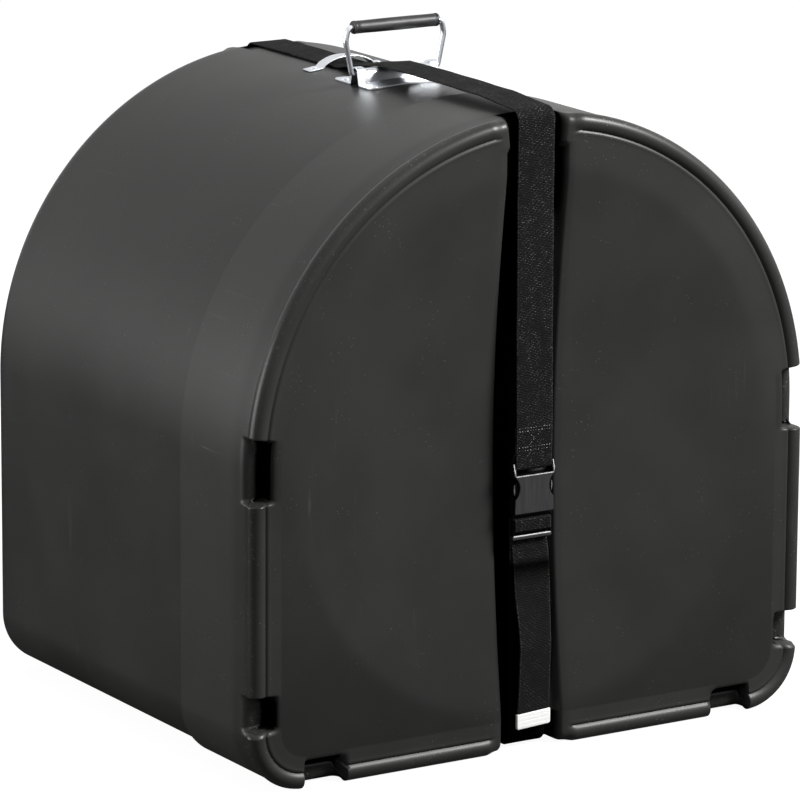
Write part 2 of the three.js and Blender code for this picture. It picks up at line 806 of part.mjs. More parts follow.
/** The pressed handle plate: wings on the shell, and a tunnel for the bail, lower under the strap. */
function buildPlate() {
  const half = plateLength / 2;
  const across = humpWidth / 2;
  const left = plateColumnShares.map(([x, ...rest]) => [-x, ...rest]);
  const middle = [[0, ...plateColumnShares.at(-1).slice(1)]];
  const columns = [...left, ...middle, ...plateColumnShares.slice().reverse()];
  const rings = columns.map(([xShare, frontShare, rearShare, raised]) => {
    const x = half * xShare;
    const fall = fallAt(x);
    const rise = (raised ? humpHeight : saddleHeight) + fall;
    const rearFoot = Math.max(rearWingReach * rearShare, across + 2 * plateThickness);
    const tunnel = (grow) => {
      const climb = humpProfileShares.map(([y, z]) => [across * y + grow, rise * z]);
      return [...climb.map(([y, z]) => [-y, z]), ...climb.reverse()];
    };
    const line = (grow, lift) => [
      [-frontWingReach * frontShare, 0],
      [-across - plateThickness, 0],
      ...tunnel(grow),
      [across + plateThickness, 0],
      [rearFoot, 0],
    ].map(([y, z]) => new THREE.Vector3(x, handleOffset + y, plateBase + z + lift - fall));
    return [...line(plateThickness / 2, plateThickness), ...line(-plateThickness / 2, 0).reverse()];
  });
  const body = solid(loft(rings)).subtract(rivetHoles());
  return addPiece("handle_plate", body, zinc());
}

/** A closed round wire through [x, z] corners in the plane of the bail, each with its own bend. */
function buildBail() {
  const corners = [
    [plateLength / 2 + wireRadius + legPlay, pivotHeight, footBend],
    [bailShoulder, bailShoulderHeight, shoulderBend],
    [bailCorner, gripHeight, cornerBend],
  ];
  const across = corners.map(([x, z, bend]) => [-x, z, bend]).reverse();
  const start = [0, pivotHeight, 0];
  const path = bentPath([start, ...corners, [0, gripHeight, 0], ...across, start]).slice(1);
  const rings = path.map((p, i) => {
    const before = path[(i + path.length - 1) % path.length];
    const after = path[(i + 1) % path.length];
    const along = after.clone().sub(before).normalize();
    return steps(0, 2 * Math.PI, roundFacets).slice(1).map((a) => {
      const out = wireRadius * Math.cos(a);
      const x = p.x - along.y * out;
      const z = p.y + along.x * out;
      return new THREE.Vector3(x, handleOffset + wireRadius * Math.sin(a), plateBase + z);
    });
  });
  return addPiece("bail_wire", solid(loft(rings, true)), zinc());
}

/** The moulded grip, a thick tube round the bail's top run with softly rounded ends. */
function buildGrip() {
  const half = gripLength / 2;
  const bore = wireRadius + touchGap;
  const soft = (gripRadius - bore) / 2;
  const end = arc(half - soft, gripRadius - soft, soft, 0, Math.PI / 2, 3);
  const otherEnd = end.map(([h, r]) => [-h, r]).reverse();
  const profile = [[half, bore], ...end, ...otherEnd, [-half, bore], [half, bore]];
  const grip = new THREE.LatheGeometry(profile.map(([h, r]) => new THREE.Vector2(r, h)), 2 * roundFacets);
  grip.rotateZ(Math.PI / 2);
  grip.translate(0, handleOffset, plateBase + gripHeight);
  return addPiece("bail_grip", solid(grip), gripPlastic);
}

/** The pressed bridge that the strap runs under, behind the handle. */
function buildBridge() {
  const half = bridgeSpan / 2;
  const heel = half - bridgeFoot;
  const arch = steps(heel - bridgeStep, bridgeStep - heel, 2 * bendFacets).map((x) => {
    const share = x / (heel - bridgeStep);
    return [x, bridgeStep + (bridgeRise - bridgeStep) * (1 - share ** 2)];
  });
  const under = [[half, 0], [heel, 0], ...arch, [-heel, 0], [-half, 0]];
  const place = (lift) => ([x, z]) => [x, plateBase + z + lift - fallAt(x)];
  const outline = [...under.map(place(0)), ...under.map(place(bridgeThickness)).reverse()];
  const body = solid(prismAlongY(outline, bridgeWidth, bridgeY - bridgeWidth / 2));
  return addPiece("strap_bridge", body.subtract(rivetHoles()), zinc());
}

/** A rivet with a domed head on the metal and a flat tail inside the shell. */
function buildRivet([name, x, y]) {
  const seat = plateThickness + 2 * touchGap;
  const inside = -wall - touchGap;
  const profile = [
    [0, inside - rivetTail],
    [rivetTailRadius, inside - rivetTail],
    [rivetTailRadius, inside],
    [rivetShankRadius, inside],
    [rivetShankRadius, seat],
    [rivetHeadRadius, seat],
    ...arc(0, 0, 1, 0, Math.PI / 2, lipFacets + 1)
      .slice(1, -1)
      .map(([r, h]) => [rivetHeadRadius * r, seat + rivetHeadHeight * h]),
    [0, seat + rivetHeadHeight],
  ];
  const rivet = new THREE.LatheGeometry(profile.map(([r, h]) => new THREE.Vector2(r, h)), roundFacets);
  rivet.rotateX(Math.PI / 2);
  return addPiece(name, solid(onShell(rivet, x, y)), zinc());
}

buildShell();
buildLid();
buildRearStrap();
buildUpperStrap();
buildLowerStrap();
buildTail();
buildSocket();
buildPlug();
buildArm("latch_arm_left", -1);
buildArm("latch_arm_right", 1);
buildPlate();
buildBail();
buildGrip();
buildBridge();
plateRivets().forEach(buildRivet);
bridgeRivets().forEach(buildRivet);

export default part;
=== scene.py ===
"""A hard drum case with a telescoping lid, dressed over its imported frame.

The shell and the lid are moulded skins, the strap is one length of woven webbing with a side-release
buckle, and the handle is a bail in a pressed plate. Everything is in metres, +Z up, and the lid's face
looks towards -Y.
"""
from __future__ import annotations

import logging
import math
from dataclasses import dataclass, field
from enum import Enum
from typing import Callable, Sequence

import bpy
import numpy as np
from mathutils import Matrix, Vector
from mathutils.geometry import delaunay_2d_cdt

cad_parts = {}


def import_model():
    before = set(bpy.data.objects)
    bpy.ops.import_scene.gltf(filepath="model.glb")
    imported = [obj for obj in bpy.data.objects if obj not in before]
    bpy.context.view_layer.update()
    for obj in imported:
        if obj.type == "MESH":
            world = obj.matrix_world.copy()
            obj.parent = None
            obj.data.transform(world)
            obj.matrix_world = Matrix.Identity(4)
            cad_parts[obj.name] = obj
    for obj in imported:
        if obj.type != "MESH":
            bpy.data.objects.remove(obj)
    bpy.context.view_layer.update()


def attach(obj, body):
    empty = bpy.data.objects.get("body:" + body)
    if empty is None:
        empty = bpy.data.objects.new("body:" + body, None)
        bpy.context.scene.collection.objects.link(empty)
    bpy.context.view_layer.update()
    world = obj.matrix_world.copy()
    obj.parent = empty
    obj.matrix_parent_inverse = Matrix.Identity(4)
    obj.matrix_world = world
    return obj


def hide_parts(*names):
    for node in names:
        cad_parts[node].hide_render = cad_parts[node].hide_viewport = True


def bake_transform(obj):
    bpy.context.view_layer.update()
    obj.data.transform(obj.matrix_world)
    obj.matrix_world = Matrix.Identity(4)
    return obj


logging.basicConfig(level=logging.INFO, format="%(message)s")
LOG = logging.getLogger("drum_case")

Colour = tuple[float, float, float]
Profile = list[tuple[float, float]]
Faces = list[tuple[int, ...]]
Piece = bpy.types.Object
Socket = bpy.types.NodeSocket
Finish = bpy.types.Material

# The near black of painted shade, mixed in without sheen where a groove or hollow lies in shade.
PAINTED_SHADE_BLACK: Colour = (0.0006, 0.0006, 0.0006)
SHARP_ROUNDED = 48.0  # degrees above which an edge of a rounded piece stays sharp
PANEL_INSET = 0.036  # how far inside the outline an end panel starts, in metres


class Body(Enum):
    """The bodies of the frame that pieces ride on."""

    SHELL = "shell"
    LID = "lid"
    PLUG = "plug"
    LATCH_LEFT = "latch_left"
    LATCH_RIGHT = "latch_right"
    BAIL = "bail"


class Facing(Enum):
    """The way that a moulded end looks along Y."""

    FRONT = -1.0
    BACK = 1.0


# Shader building

def math_step(operation: str, flip: bool = False) -> Callable[..., "Value"]:
    """A method of Value that adds one Math node.

    Args:
        operation: the Math node's operation.
        flip: whether the other operand comes first.

    Returns:
        The method, which takes the further operands and returns the result.
    """
    def method(self: "Value", *others: "Value | float") -> "Value":
        """Adds the Math node."""
        operands = [*others, self] if flip else [self, *others]
        return self.shade.value("ShaderNodeMath", dict(enumerate(operands)), operation=operation)

    return method


@dataclass(frozen=True)
class Value:
    """A number that varies over a surface, with the arithmetic that adds Math nodes."""

    shade: "Shade"
    socket: Socket

    __add__ = __radd__ = math_step("ADD")
    __sub__ = math_step("SUBTRACT")
    __rsub__ = math_step("SUBTRACT", flip=True)
    __mul__ = __rmul__ = math_step("MULTIPLY")
    __truediv__ = math_step("DIVIDE")
    __abs__ = math_step("ABSOLUTE")
    sine = math_step("SINE")
    floor = math_step("FLOOR")
    part = math_step("FRACT")
    over = math_step("GREATER_THAN")
    least = math_step("MINIMUM")
    most = math_step("MAXIMUM")

    def ramp(self, low: float, high: float, to_low: float = 0.0, to_high: float = 1.0) -> "Value":
        """A smooth step between two levels.

        Args:
            low: where the step starts.
            high: where it ends.
            to_low: the result up to low.
            to_high: the result from high on.

        Returns:
            The stepped value.
        """
        return self.shade.value("ShaderNodeMapRange", {0: self, 1: low, 2: high, 3: to_low, 4: to_high},
                                interpolation_type="SMOOTHSTEP")


class Nodes:
    """A node tree under construction, for a material, the world or a Geometry Nodes group."""

    def __init__(self, tree: bpy.types.NodeTree) -> None:
        """Takes a tree and empties it."""
        self.tree = tree
        tree.nodes.clear()

    def add(self, kind: str, inputs: dict[str | int, object] | None = None,
            **settings: object) -> bpy.types.Node:
        """Adds a node.

        Args:
            kind: the node's type.
            inputs: values or links by socket name or number.
            settings: the node's own properties, set before its inputs.

        Returns:
            The new node.
        """
        made = self.tree.nodes.new(kind)
        for key, value in settings.items():
            setattr(made, key, value)
        for key, value in (inputs or {}).items():
            socket = made.inputs[key]
            source = value.socket if isinstance(value, Value) else value
            if isinstance(source, Socket):
                self.tree.links.new(source, socket)
            else:
                socket.default_value = (*value, 1.0) if socket.type == "RGBA" else value
        return made


class Shade(Nodes):
    """One material's node tree."""

    def __init__(self, name: str) -> None:
        """Starts a material of that name."""
        self.material = bpy.data.materials.new(name)
        self.material.use_nodes = True
        super().__init__(self.material.node_tree)
        self.output = self.add("ShaderNodeOutputMaterial")

    def value(self, kind: str, inputs: dict[str | int, object] | None = None, output: int | str = 0,
              **settings: object) -> Value:
        """Adds a node and takes one of its outputs as a value."""
        return Value(self, self.add(kind, inputs, **settings).outputs[output])

    def place(self, scale: Sequence[float] = (1.0, 1.0, 1.0),
              turn: Sequence[float] = (0.0, 0.0, 0.0)) -> Socket:
        """Object coordinates, turned about each axis and stretched along it."""
        source = self.add("ShaderNodeTexCoord").outputs["Object"]
        return self.add("ShaderNodeMapping",
                        {"Vector": source, "Scale": scale, "Rotation": turn}).outputs[0]

    def axes(self, vector: Socket) -> tuple[Value, ...]:
        """The three parts of a vector."""
        return tuple(Value(self, out) for out in self.add("ShaderNodeSeparateXYZ", {0: vector}).outputs)

    def cloth(self) -> tuple[Value, ...]:
        """Distances across and along a strap, in metres, from its own UV map."""
        return self.axes(self.add("ShaderNodeUVMap", uv_map="cloth").outputs[0])[:2]

    def painted(self, name: str) -> Value:
        """A number stored on the mesh's points under a name."""
        return self.value("ShaderNodeAttribute", output="Fac", attribute_name=name)

    def noise(self, scale: float, detail: float = 2.0, rough: float = 0.5,
              vector: Socket | None = None) -> Value:
        """Noise around a half.

        Args:
            scale: features per metre.
            detail: octaves.
            rough: share of each finer octave.
            vector: where it is read, or object coordinates.

        Returns:
            The noise.
        """
        return self.value("ShaderNodeTexNoise", {
            "Vector": vector or self.place(), "Scale": scale, "Detail": detail, "Roughness": rough})

    def cells(self, scale: float) -> Value:
        """Distance to the nearest of scattered points, with so many per metre."""
        return self.value("ShaderNodeTexVoronoi", {"Vector": self.place(), "Scale": scale}, "Distance")

    def blend(self, share: Value | float, low: object, high: object) -> Socket:
        """A colour between two, each given as numbers or a socket."""
        return self.add("ShaderNodeMix", {0: share, 6: low, 7: high}, data_type="RGBA",
                        clamp_factor=True).outputs[2]

    def bump(self, height: Value, distance: float, strength: float = 1.0,
             under: Socket | None = None) -> Socket:
        """A bumped normal.

        Args:
            height: the height, around one unit.
            distance: what one unit of height measures, in metres.
            strength: share of the effect.
            under: a normal to bump further.

        Returns:
            The normal socket.
        """
        inputs: dict[str | int, object] = {"Height": height, "Distance": distance, "Strength": strength}
        if under is not None:
            inputs["Normal"] = under
        return self.add("ShaderNodeBump", inputs).outputs[0]

    def mix(self, share: object, first: bpy.types.Node, second: bpy.types.Node) -> bpy.types.Node:
        """A mix of two shaders."""
        return self.add("ShaderNodeMixShader", {0: share, 1: first.outputs[0], 2: second.outputs[0]})

    def close(self, shader: bpy.types.Node) -> Finish:
        """Shows a shader on the surface."""
        self.tree.links.new(shader.outputs[0], self.output.inputs["Surface"])
        return self.material

    def finish(self, painted_shade: Value | None = None, **sockets: object) -> Finish:
        """Closes the tree with one Principled shader.

        Args:
            painted_shade: how far a place is painted dead black without any sheen: painted shade, as
                deep in a groove.
            sockets: the shader's inputs by name, with underscores for spaces.

        Returns:
            The material.
        """
        inputs = {key.replace("_", " "): value for key, value in sockets.items()}
        shader = self.add("ShaderNodeBsdfPrincipled", inputs)
        if painted_shade is not None:
            # Painted shade: a dead black diffuse stands in for deep shadow.
            shader = self.mix(painted_shade, shader, self.add("ShaderNodeBsdfDiffuse", {0: PAINTED_SHADE_BLACK}))
        return self.close(shader)


# Finishes

@dataclass(frozen=True)
class MouldedShell:
    """Thick moulded polyethylene: a fine grain, faint clouding, scuffs and a scatter of pale dust, with
    painted shade and painted light read from its points.
    """

    name: str = "moulded_shell"
    colour: Colour = (0.0230, 0.0230, 0.0222)
    clouded: Colour = (0.0285, 0.0285, 0.0274)
    # The colour that a tone above one lifts towards: painted light on the strap channel's right wall,
    # and the lid skirt's lighter tone.
    pale: Colour = (0.0900, 0.0900, 0.0870)
    # The near black that a tone of zero paints: painted shade in the strap channel and the notches.
    deep: Colour = (0.0008, 0.0008, 0.0008)
    dust: Colour = (0.36, 0.36, 0.35)
    roughness: float = 0.42
    grain: float = 900.0
    smears: tuple[tuple[tuple[float, float, float], float, float], ...] = (
        ((-0.3360, -0.172, 0.330), 0.030, 0.30), ((-0.3360, -0.150, 0.352), 0.018, 0.20),
        ((-0.150, -0.020, 0.625), 0.040, 0.16), ((-0.230, -0.120, 0.575), 0.030, 0.10))

    def build(self) -> Finish:
        """Makes the material."""
        s = Shade(self.name)
        cloud = s.noise(8.0, 3.0, 0.55)
        fine = s.noise(self.grain, 2.0, 0.6)
        pebble = s.cells(self.grain * 0.7)
        wear, tone = s.painted("wear"), s.painted("tone")
        # The painted tone: painted shade towards black in the strap channel and the notches, darker
        # towards the panel's foot, and painted light above one.
        moulded = s.blend(cloud.ramp(0.3, 0.7), self.colour, self.clouded)
        lifted = s.blend(tone - 1.0, moulded, self.pale)
        base = s.blend(tone, self.deep, lifted)
        near = (1.0 - s.cells(230.0)).ramp(0.84, 0.93)
        dusty = near * s.noise(30.0, 1.0).ramp(0.55, 0.68) * (0.35 + wear)
        streaks = s.noise(70.0, 4.0, 0.7, s.place((1.0, 1.0, 0.10))).ramp(0.60, 0.80)
        rub = streaks * s.noise(6.0, 1.0).ramp(0.52, 0.64)
        scratched = s.place((1.0, 0.06, 1.0), turn=(0.0, 0.0, 0.4))
        marks = s.noise(150.0, 3.0, 0.6, scratched).ramp(0.66, 0.72)
        chafe = wear * (marks * 0.22 + s.noise(420.0, 2.0).ramp(0.60, 0.76) * 0.22)
        smear = self.smear(s) * marks.most(streaks * 0.5)
        pale = ((dusty * 0.8 + rub * 0.07 + chafe + smear) * tone).least(1.0)
        rough = (fine - 0.5) * 0.12 + cloud * 0.10 + (self.roughness - 0.05) + rub * 0.08 - wear * 0.10
        low = s.bump(fine * 0.6 + pebble * 0.6, 0.00010, 0.35)
        wavy = s.bump(s.noise(13.0, 2.0, 0.4), 0.0010, 0.25, low)
        # The painted black share mixes in dead black painted shade without sheen.
        return s.finish(s.painted("soot"), Base_Color=s.blend(pale, base, self.dust), Roughness=rough,
                        Normal=wavy, IOR=1.37)

    def smear(self, s: Shade) -> Value:
        """How far a place lies in one of the rubbed patches."""
        source = s.place()
        total: Value | float = 0.0
        for place, reach, strength in self.smears:
            gap = s.value("ShaderNodeVectorMath", {0: source, 1: place}, "Value", operation="DISTANCE")
            total = gap.ramp(reach, reach * 0.2) * strength + total
        return total


@dataclass(frozen=True)
class Webbing:
    """Tightly woven polypropylene webbing: cross ribs with staggered floats that carry painted glints,
    a tighter edge with a painted highlight line, and painted shade lower down and behind the free tail.
    """

    name: str = "webbing"
    colour: Colour = (0.0030, 0.0030, 0.0032)
    thread: Colour = (0.0085, 0.0085, 0.0090)
    # The pale colour of the painted glints and the painted edge highlight.
    fleck_glint: Colour = (0.30, 0.30, 0.30)
    pitch: float = 0.0017
    float_length: float = 0.0056
    stagger: float = -0.37
    half: float = 0.0220

    def build(self) -> Finish:
        """Makes the material."""
        s = Shade(self.name)
        across, along = s.cloth()
        drift = (s.noise(90.0, 2.0, 0.6) - 0.5) * 0.0012
        row = (along + drift) / self.pitch
        index = row.floor()
        level = abs(row.part() - 0.5)
        rib = 1.0 - level * 2.0
        shift = (index * self.stagger).part()
        float_at = (across / self.float_length + shift + s.noise(420.0, 1.0) * 1.3).part()
        floats = float_at.ramp(0.08, 0.20) * (1.0 - float_at.ramp(0.40, 0.56))
        glint_dash = (1.0 - level.ramp(0.14, 0.32)) * floats
        edge = abs(across).ramp(self.half - 0.0022, self.half - 0.0009)
        patchy = s.noise(75.0, 3.0, 0.7).ramp(0.36, 0.70)
        grit = s.noise(900.0, 2.0).ramp(0.44, 0.68)
        strands = (across * (2.0 * math.pi / 0.00082)).sine() * 0.5 + 0.5
        depth_in, height_above = s.axes(s.place())[1:]
        # Painted shade: the webbing darkens lower down, on the tail below the buckle.
        shaded = height_above.ramp(0.190, 0.230, 0.35, 1.0)
        lit = (rib * 0.6 + strands * 0.25 + grit * 0.3).ramp(0.35, 1.05) * shaded
        body = s.blend(lit, self.colour, self.thread)
        # Painted glints: pale flecks on the crests of the floats, and a painted highlight line along
        # each edge.
        pale = glint_dash * (0.04 + patchy * 0.60) * (0.10 + grit * 0.90) * (1.0 - edge) * shaded
        rim = edge * s.noise(900.0, 1.0).ramp(0.40, 0.70) * 0.16
        height = rib * (1.0 - edge) + glint_dash * 0.8 + strands * 0.12 + edge * 0.7
        # Painted shadow: dead black without sheen on the run behind the free tail.
        behind = (depth_in.ramp(-0.2690, -0.2665) * depth_in.ramp(-0.2000, -0.2100)
                  * height_above.ramp(0.205, 0.195))
        return s.finish(behind * 0.9, Base_Color=s.blend((pale + rim).least(1.0), body, self.fleck_glint),
                        Roughness=0.85, Normal=s.bump(height, 0.00035, 0.8), IOR=1.22)


@dataclass(frozen=True)
class TipPlastic:
    """The white moulded end of the strap, a little soiled."""

    name: str = "tip_plastic"
    colour: Colour = (0.93, 0.93, 0.92)
    soiled: Colour = (0.70, 0.69, 0.66)

    def build(self) -> Finish:
        """Makes the material."""
        s = Shade(self.name)
        spots = s.noise(210.0, 3.0, 0.6).ramp(0.6, 0.76)
        grain = s.noise(2400.0, 1.0)
        return s.finish(Base_Color=s.blend(spots * 0.6, self.colour, self.soiled),
                        Roughness=0.5 + (grain - 0.5) * 0.2, Normal=s.bump(grain, 0.00004, 0.4))


@dataclass(frozen=True)
class BucklePlastic:
    """Black acetal: faint flow streaks, a fine grain, painted highlights along the edges of the slot,
    the ladder bar, the rails and the pads, and dead black painted shade behind the socket's front face.
    """

    name: str = "buckle_plastic"
    colour: Colour = (0.0240, 0.0240, 0.0245)
    streak: Colour = (0.0340, 0.0340, 0.0345)
    # The pale colour of the painted edge highlights.
    painted_highlight: Colour = (0.66, 0.66, 0.66)
    roughness: float = 0.42
    middle: float = -0.2685
    face: float = 0.0065
    lip: float = 0.2930
    rail: float = 0.0243
    rail_top: float = 0.3060
    ladder: float = 0.2292
    pad: float = 0.0232
    pad_low: float = 0.2706

    def build(self) -> Finish:
        """Makes the material."""
        s = Shade(self.name)
        x, y, z = s.axes(s.place())
        side = abs(x)
        inner = side.ramp(self.rail - 0.0012, self.rail - 0.0020)
        front = self.middle - self.face
        lip = self.near(z, self.lip, 0.0009) * y.ramp(front + 0.0014, front + 0.0008)
        bar_front = y.ramp(self.middle - 0.0006, self.middle - 0.0014)
        ladder = self.near(z, self.ladder - 0.0003, 0.0008) * bar_front
        slope = z.ramp(self.lip + 0.003, self.rail_top, front, self.middle - 0.0034)
        rail = (side.ramp(self.rail - 0.0012, self.rail - 0.0005) * (y - slope).ramp(0.0013, 0.0006)
                * z.over(self.lip - 0.0006))
        pad = (side.ramp(self.pad - 0.0010, self.pad - 0.0005) * z.over(self.pad_low)
               * (1.0 - z.over(self.lip - 0.006)) * y.ramp(self.middle - 0.0020, self.middle - 0.0028))
        # Painted highlights: pale lines along the slot's lower lip, the ladder bar's top edge, the
        # rails' slanting edges and the pads, broken up by noise.
        painted_highlight = ((lip + ladder) * inner + rail + pad * 0.8).least(1.0)
        broken_highlight = painted_highlight * s.noise(420.0, 2.0, 0.5).ramp(0.22, 0.46, 0.45, 1.0)
        grain = s.noise(2600.0, 2.0, 0.6)
        flow = s.noise(330.0, 3.0, 0.6, s.place((1.0, 1.0, 0.09)))
        body = s.blend(flow.ramp(0.38, 0.70), self.colour, self.streak)
        # Painted shade: dead black without sheen on everything set back behind the socket's front face
        # above the ladder bar: the hollow, the slots, the windows, and the plug and arms inside.
        deep = (y - front).ramp(0.0008, 0.0018) * z.over(self.ladder) * (1.0 - painted_highlight)
        rough = self.roughness + (grain - 0.5) * 0.14 + (flow - 0.5) * 0.16 - broken_highlight * 0.08
        return s.finish(deep * 0.85, Base_Color=s.blend(broken_highlight, body, self.painted_highlight), Roughness=rough,
                        Normal=s.bump(grain * 0.5 + flow * 0.8, 0.00010, 0.4), IOR=1.48)

    def near(self, value: Value, place: float, reach: float) -> Value:
        """One at a place, falling to nothing at a reach from it."""
        return abs(value - place).ramp(reach, reach * 0.4)


@dataclass(frozen=True)
class ZincSteel:
    """Bright zinc-plated steel, bluish, with faint rolling marks and a few dull spots."""

    name: str = "zinc_steel"
    colour: Colour = (0.86, 0.89, 0.93)
    dulled: Colour = (0.56, 0.60, 0.66)
    roughness: float = 0.30
    lines: tuple[float, float, float] = (1.0, 14.0, 14.0)

    def build(self) -> Finish:
        """Makes the material."""
        s = Shade(self.name)
        drawn = s.noise(120.0, 3.0, 0.6, s.place(self.lines))
        spots = s.noise(260.0, 4.0, 0.7).ramp(0.56, 0.78)
        rough = self.roughness + (drawn - 0.5) * 0.12 + spots * 0.18
        return s.finish(Base_Color=s.blend(spots * 0.5 + drawn * 0.15, self.colour, self.dulled),
                        Metallic=1.0,
                        Roughness=rough, Normal=s.bump(drawn, 0.00003, 0.4))


@dataclass(frozen=True)
class GripPlastic:
    """The grip's black plastic with lengthwise flow marks and a dull bloom."""

    name: str = "grip_plastic"
    colour: Colour = (0.010, 0.010, 0.010)
    bloom: Colour = (0.045, 0.045, 0.044)

    def build(self) -> Finish:
        """Makes the material."""
        s = Shade(self.name)
        flow = s.noise(220.0, 3.0, 0.6, s.place((0.15, 1.0, 1.0)))
        grain = s.noise(2600.0, 1.0)
        return s.finish(Base_Color=s.blend(flow.ramp(0.4, 0.7) * 0.6, self.colour, self.bloom),
                        Roughness=0.46 + (flow - 0.5) * 0.3,
                        Normal=s.bump(flow * 0.6 + grain * 0.4, 0.00012, 0.5))


@dataclass(frozen=True)
class ThreadFinish:
    """Bonded sewing thread, twisted."""

    name: str = "sewing_thread"
    colour: Colour = (0.030, 0.030, 0.031)
    light: Colour = (0.55, 0.55, 0.54)

    def build(self) -> Finish:
        """Makes the material."""
        s = Shade(self.name)
        twist = s.noise(3000.0, 1.0, 0.5, s.place((1.0, 1.0, 0.4)))
        worn = s.noise(260.0, 2.0, 0.6).ramp(0.48, 0.58)
        return s.finish(Base_Color=s.blend(worn * twist.ramp(0.2, 0.6), self.colour, self.light),
                        Roughness=0.6,
                        Normal=s.bump(twist, 0.0001, 0.6))


# Mesh helpers

def put(name: str, data: bpy.types.ID) -> Piece:
    """An object at the origin, linked to the scene."""
    made = bpy.data.objects.new(name, data)
    bpy.context.scene.collection.objects.link(made)
    return made


def soften(piece: Piece, sharp: float | None = None) -> Piece:
    """Shades a piece smooth, but for its edges above an angle in degrees."""
    piece.data.polygons.foreach_set("use_smooth", [True] * len(piece.data.polygons))
    if sharp is not None:
        piece.data.set_sharp_from_angle(angle=math.radians(sharp))
    return piece


def make_object(name: str, points: Sequence[Sequence[float]], faces: Sequence[Sequence[int]],
                smooth: bool = True, sharp: float | None = None) -> Piece:
    """A mesh object at the origin, linked to the scene.

    Args:
        name: the piece's name.
        points: its points in metres.
        faces: point numbers of each face.
        smooth: whether it is shaded smooth.
        sharp: the angle in degrees above which an edge stays sharp.

    Returns:
        The object.
    """
    mesh = bpy.data.meshes.new(name)
    mesh.from_pydata([tuple(p) for p in np.asarray(points, float)], [],
                     [tuple(map(int, f)) for f in faces])
    mesh.validate()
    made = put(name, mesh)
    return soften(made, sharp) if smooth else made


def guide_mesh(name: str, points: Sequence[Sequence[float]],
          edges: Sequence[tuple[int, int]] = ()) -> Piece:
    """Points and edges that a Geometry Nodes group turns into the piece of that name."""
    mesh = bpy.data.meshes.new(f"{name}_guide")
    mesh.from_pydata(points, edges, [])
    return put(name, mesh)


def modify(piece: Piece, kind: str, **settings: object) -> bpy.types.Modifier:
    """Adds a modifier with its settings."""
    mod = piece.modifiers.new(kind.lower(), kind)
    for key, value in settings.items():
        setattr(mod, key, value)
    return mod


def apply_modifiers(piece: Piece) -> Piece:
    """Turns a piece with live modifiers into a plain mesh."""
    bpy.context.view_layer.update()
    evaluated = piece.evaluated_get(bpy.context.evaluated_depsgraph_get())
    mesh = bpy.data.meshes.new_from_object(evaluated)
    old = piece.data
    piece.modifiers.clear()
    piece.data = mesh
    mesh.name = piece.name
    bpy.data.meshes.remove(old)
    return piece


def bevel(piece: Piece, width: float, segments: int = 3, angle: float = 32.0) -> Piece:
    """Rounds a piece's edges and applies it.

    Args:
        piece: the piece.
        width: the rounding's width in metres.
        segments: its facets.
        angle: the least angle of an edge that is rounded, in degrees.

    Returns:
        The same piece.
    """
    modify(piece, "BEVEL", width=width, segments=segments, limit_method="ANGLE",
           angle_limit=math.radians(angle), harden_normals=False)
    return soften(apply_modifiers(piece), SHARP_ROUNDED)


def steady(piece: Piece) -> Piece:
    """Lets a piece's large flat faces rule the shading of the roundings beside them."""
    modify(piece, "WEIGHTED_NORMAL", mode="FACE_AREA", weight=90, keep_sharp=True)
    return apply_modifiers(piece)


def thicken(piece: Piece, thickness: float, offset: float = -1.0) -> Piece:
    """Gives a skin its wall.

    Args:
        piece: the skin, with its faces outwards.
        thickness: the wall in metres.
        offset: -1 for inwards, 1 for outwards.

    Returns:
        The same piece.
    """
    modify(piece, "SOLIDIFY", thickness=thickness, offset=offset, use_even_offset=False, use_rim=True)
    return apply_modifiers(piece)


def cut_with(name: str, piece: Piece, cutters: Sequence[Piece]) -> Piece:
    """Cuts other meshes out of a piece and removes them.

    Args:
        name: the name that the piece gets.
        piece: the piece.
        cutters: closed meshes.

    Returns:
        The same piece.
    """
    for cutter in cutters:
        modify(piece, "BOOLEAN", operation="DIFFERENCE", solver="EXACT", object=cutter)
    apply_modifiers(piece)
    for cutter in cutters:
        bpy.data.objects.remove(cutter, do_unlink=True)
    piece.name = name
    return piece


def turn_about(piece: Piece, angle: float, axis: str | Vector, centre: Sequence[float],
               shift: Sequence[float] = (0.0, 0.0, 0.0)) -> None:
    """Turns a piece's points about a centre and then shifts them.

    Args:
        piece: the piece.
        angle: the angle in radians.
        axis: the axis that it turns about.
        centre: the point that stays.
        shift: how far the points move after that.
    """
    turn, middle, away = Matrix.Rotation(angle, 4, axis), Vector(centre), Vector(shift)
    for vertex in piece.data.vertices:
        vertex.co = turn @ (vertex.co - middle) + middle + away


def join(name: str, parts: Sequence[Piece]) -> Piece:
    """Several meshes as one piece.

    Args:
        name: the piece's name.
        parts: the meshes, which are used up.

    Returns:
        The joined piece.
    """
    points: list[tuple[float, ...]] = []
    faces: Faces = []
    for item in parts:
        first = len(points)
        points += [tuple(vertex.co) for vertex in item.data.vertices]
        faces += [tuple(first + i for i in face.vertices) for face in item.data.polygons]
    made = make_object(name, points, faces, sharp=40.0)
    for item in parts:
        bpy.data.objects.remove(item, do_unlink=True)
    return made


def box_mesh(name: str, low: Sequence[float], high: Sequence[float]) -> Piece:
    """A plain block between two corners, used as a cutter or a blank."""
    corners = [(x, y, z) for x in (low[0], high[0])
               for y in (low[1], high[1]) for z in (low[2], high[2])]
    faces = [(0, 1, 3, 2), (4, 6, 7, 5), (0, 4, 5, 1), (2, 3, 7, 6), (0, 2, 6, 4), (1, 5, 7, 3)]
    return make_object(name, corners, faces, smooth=False)


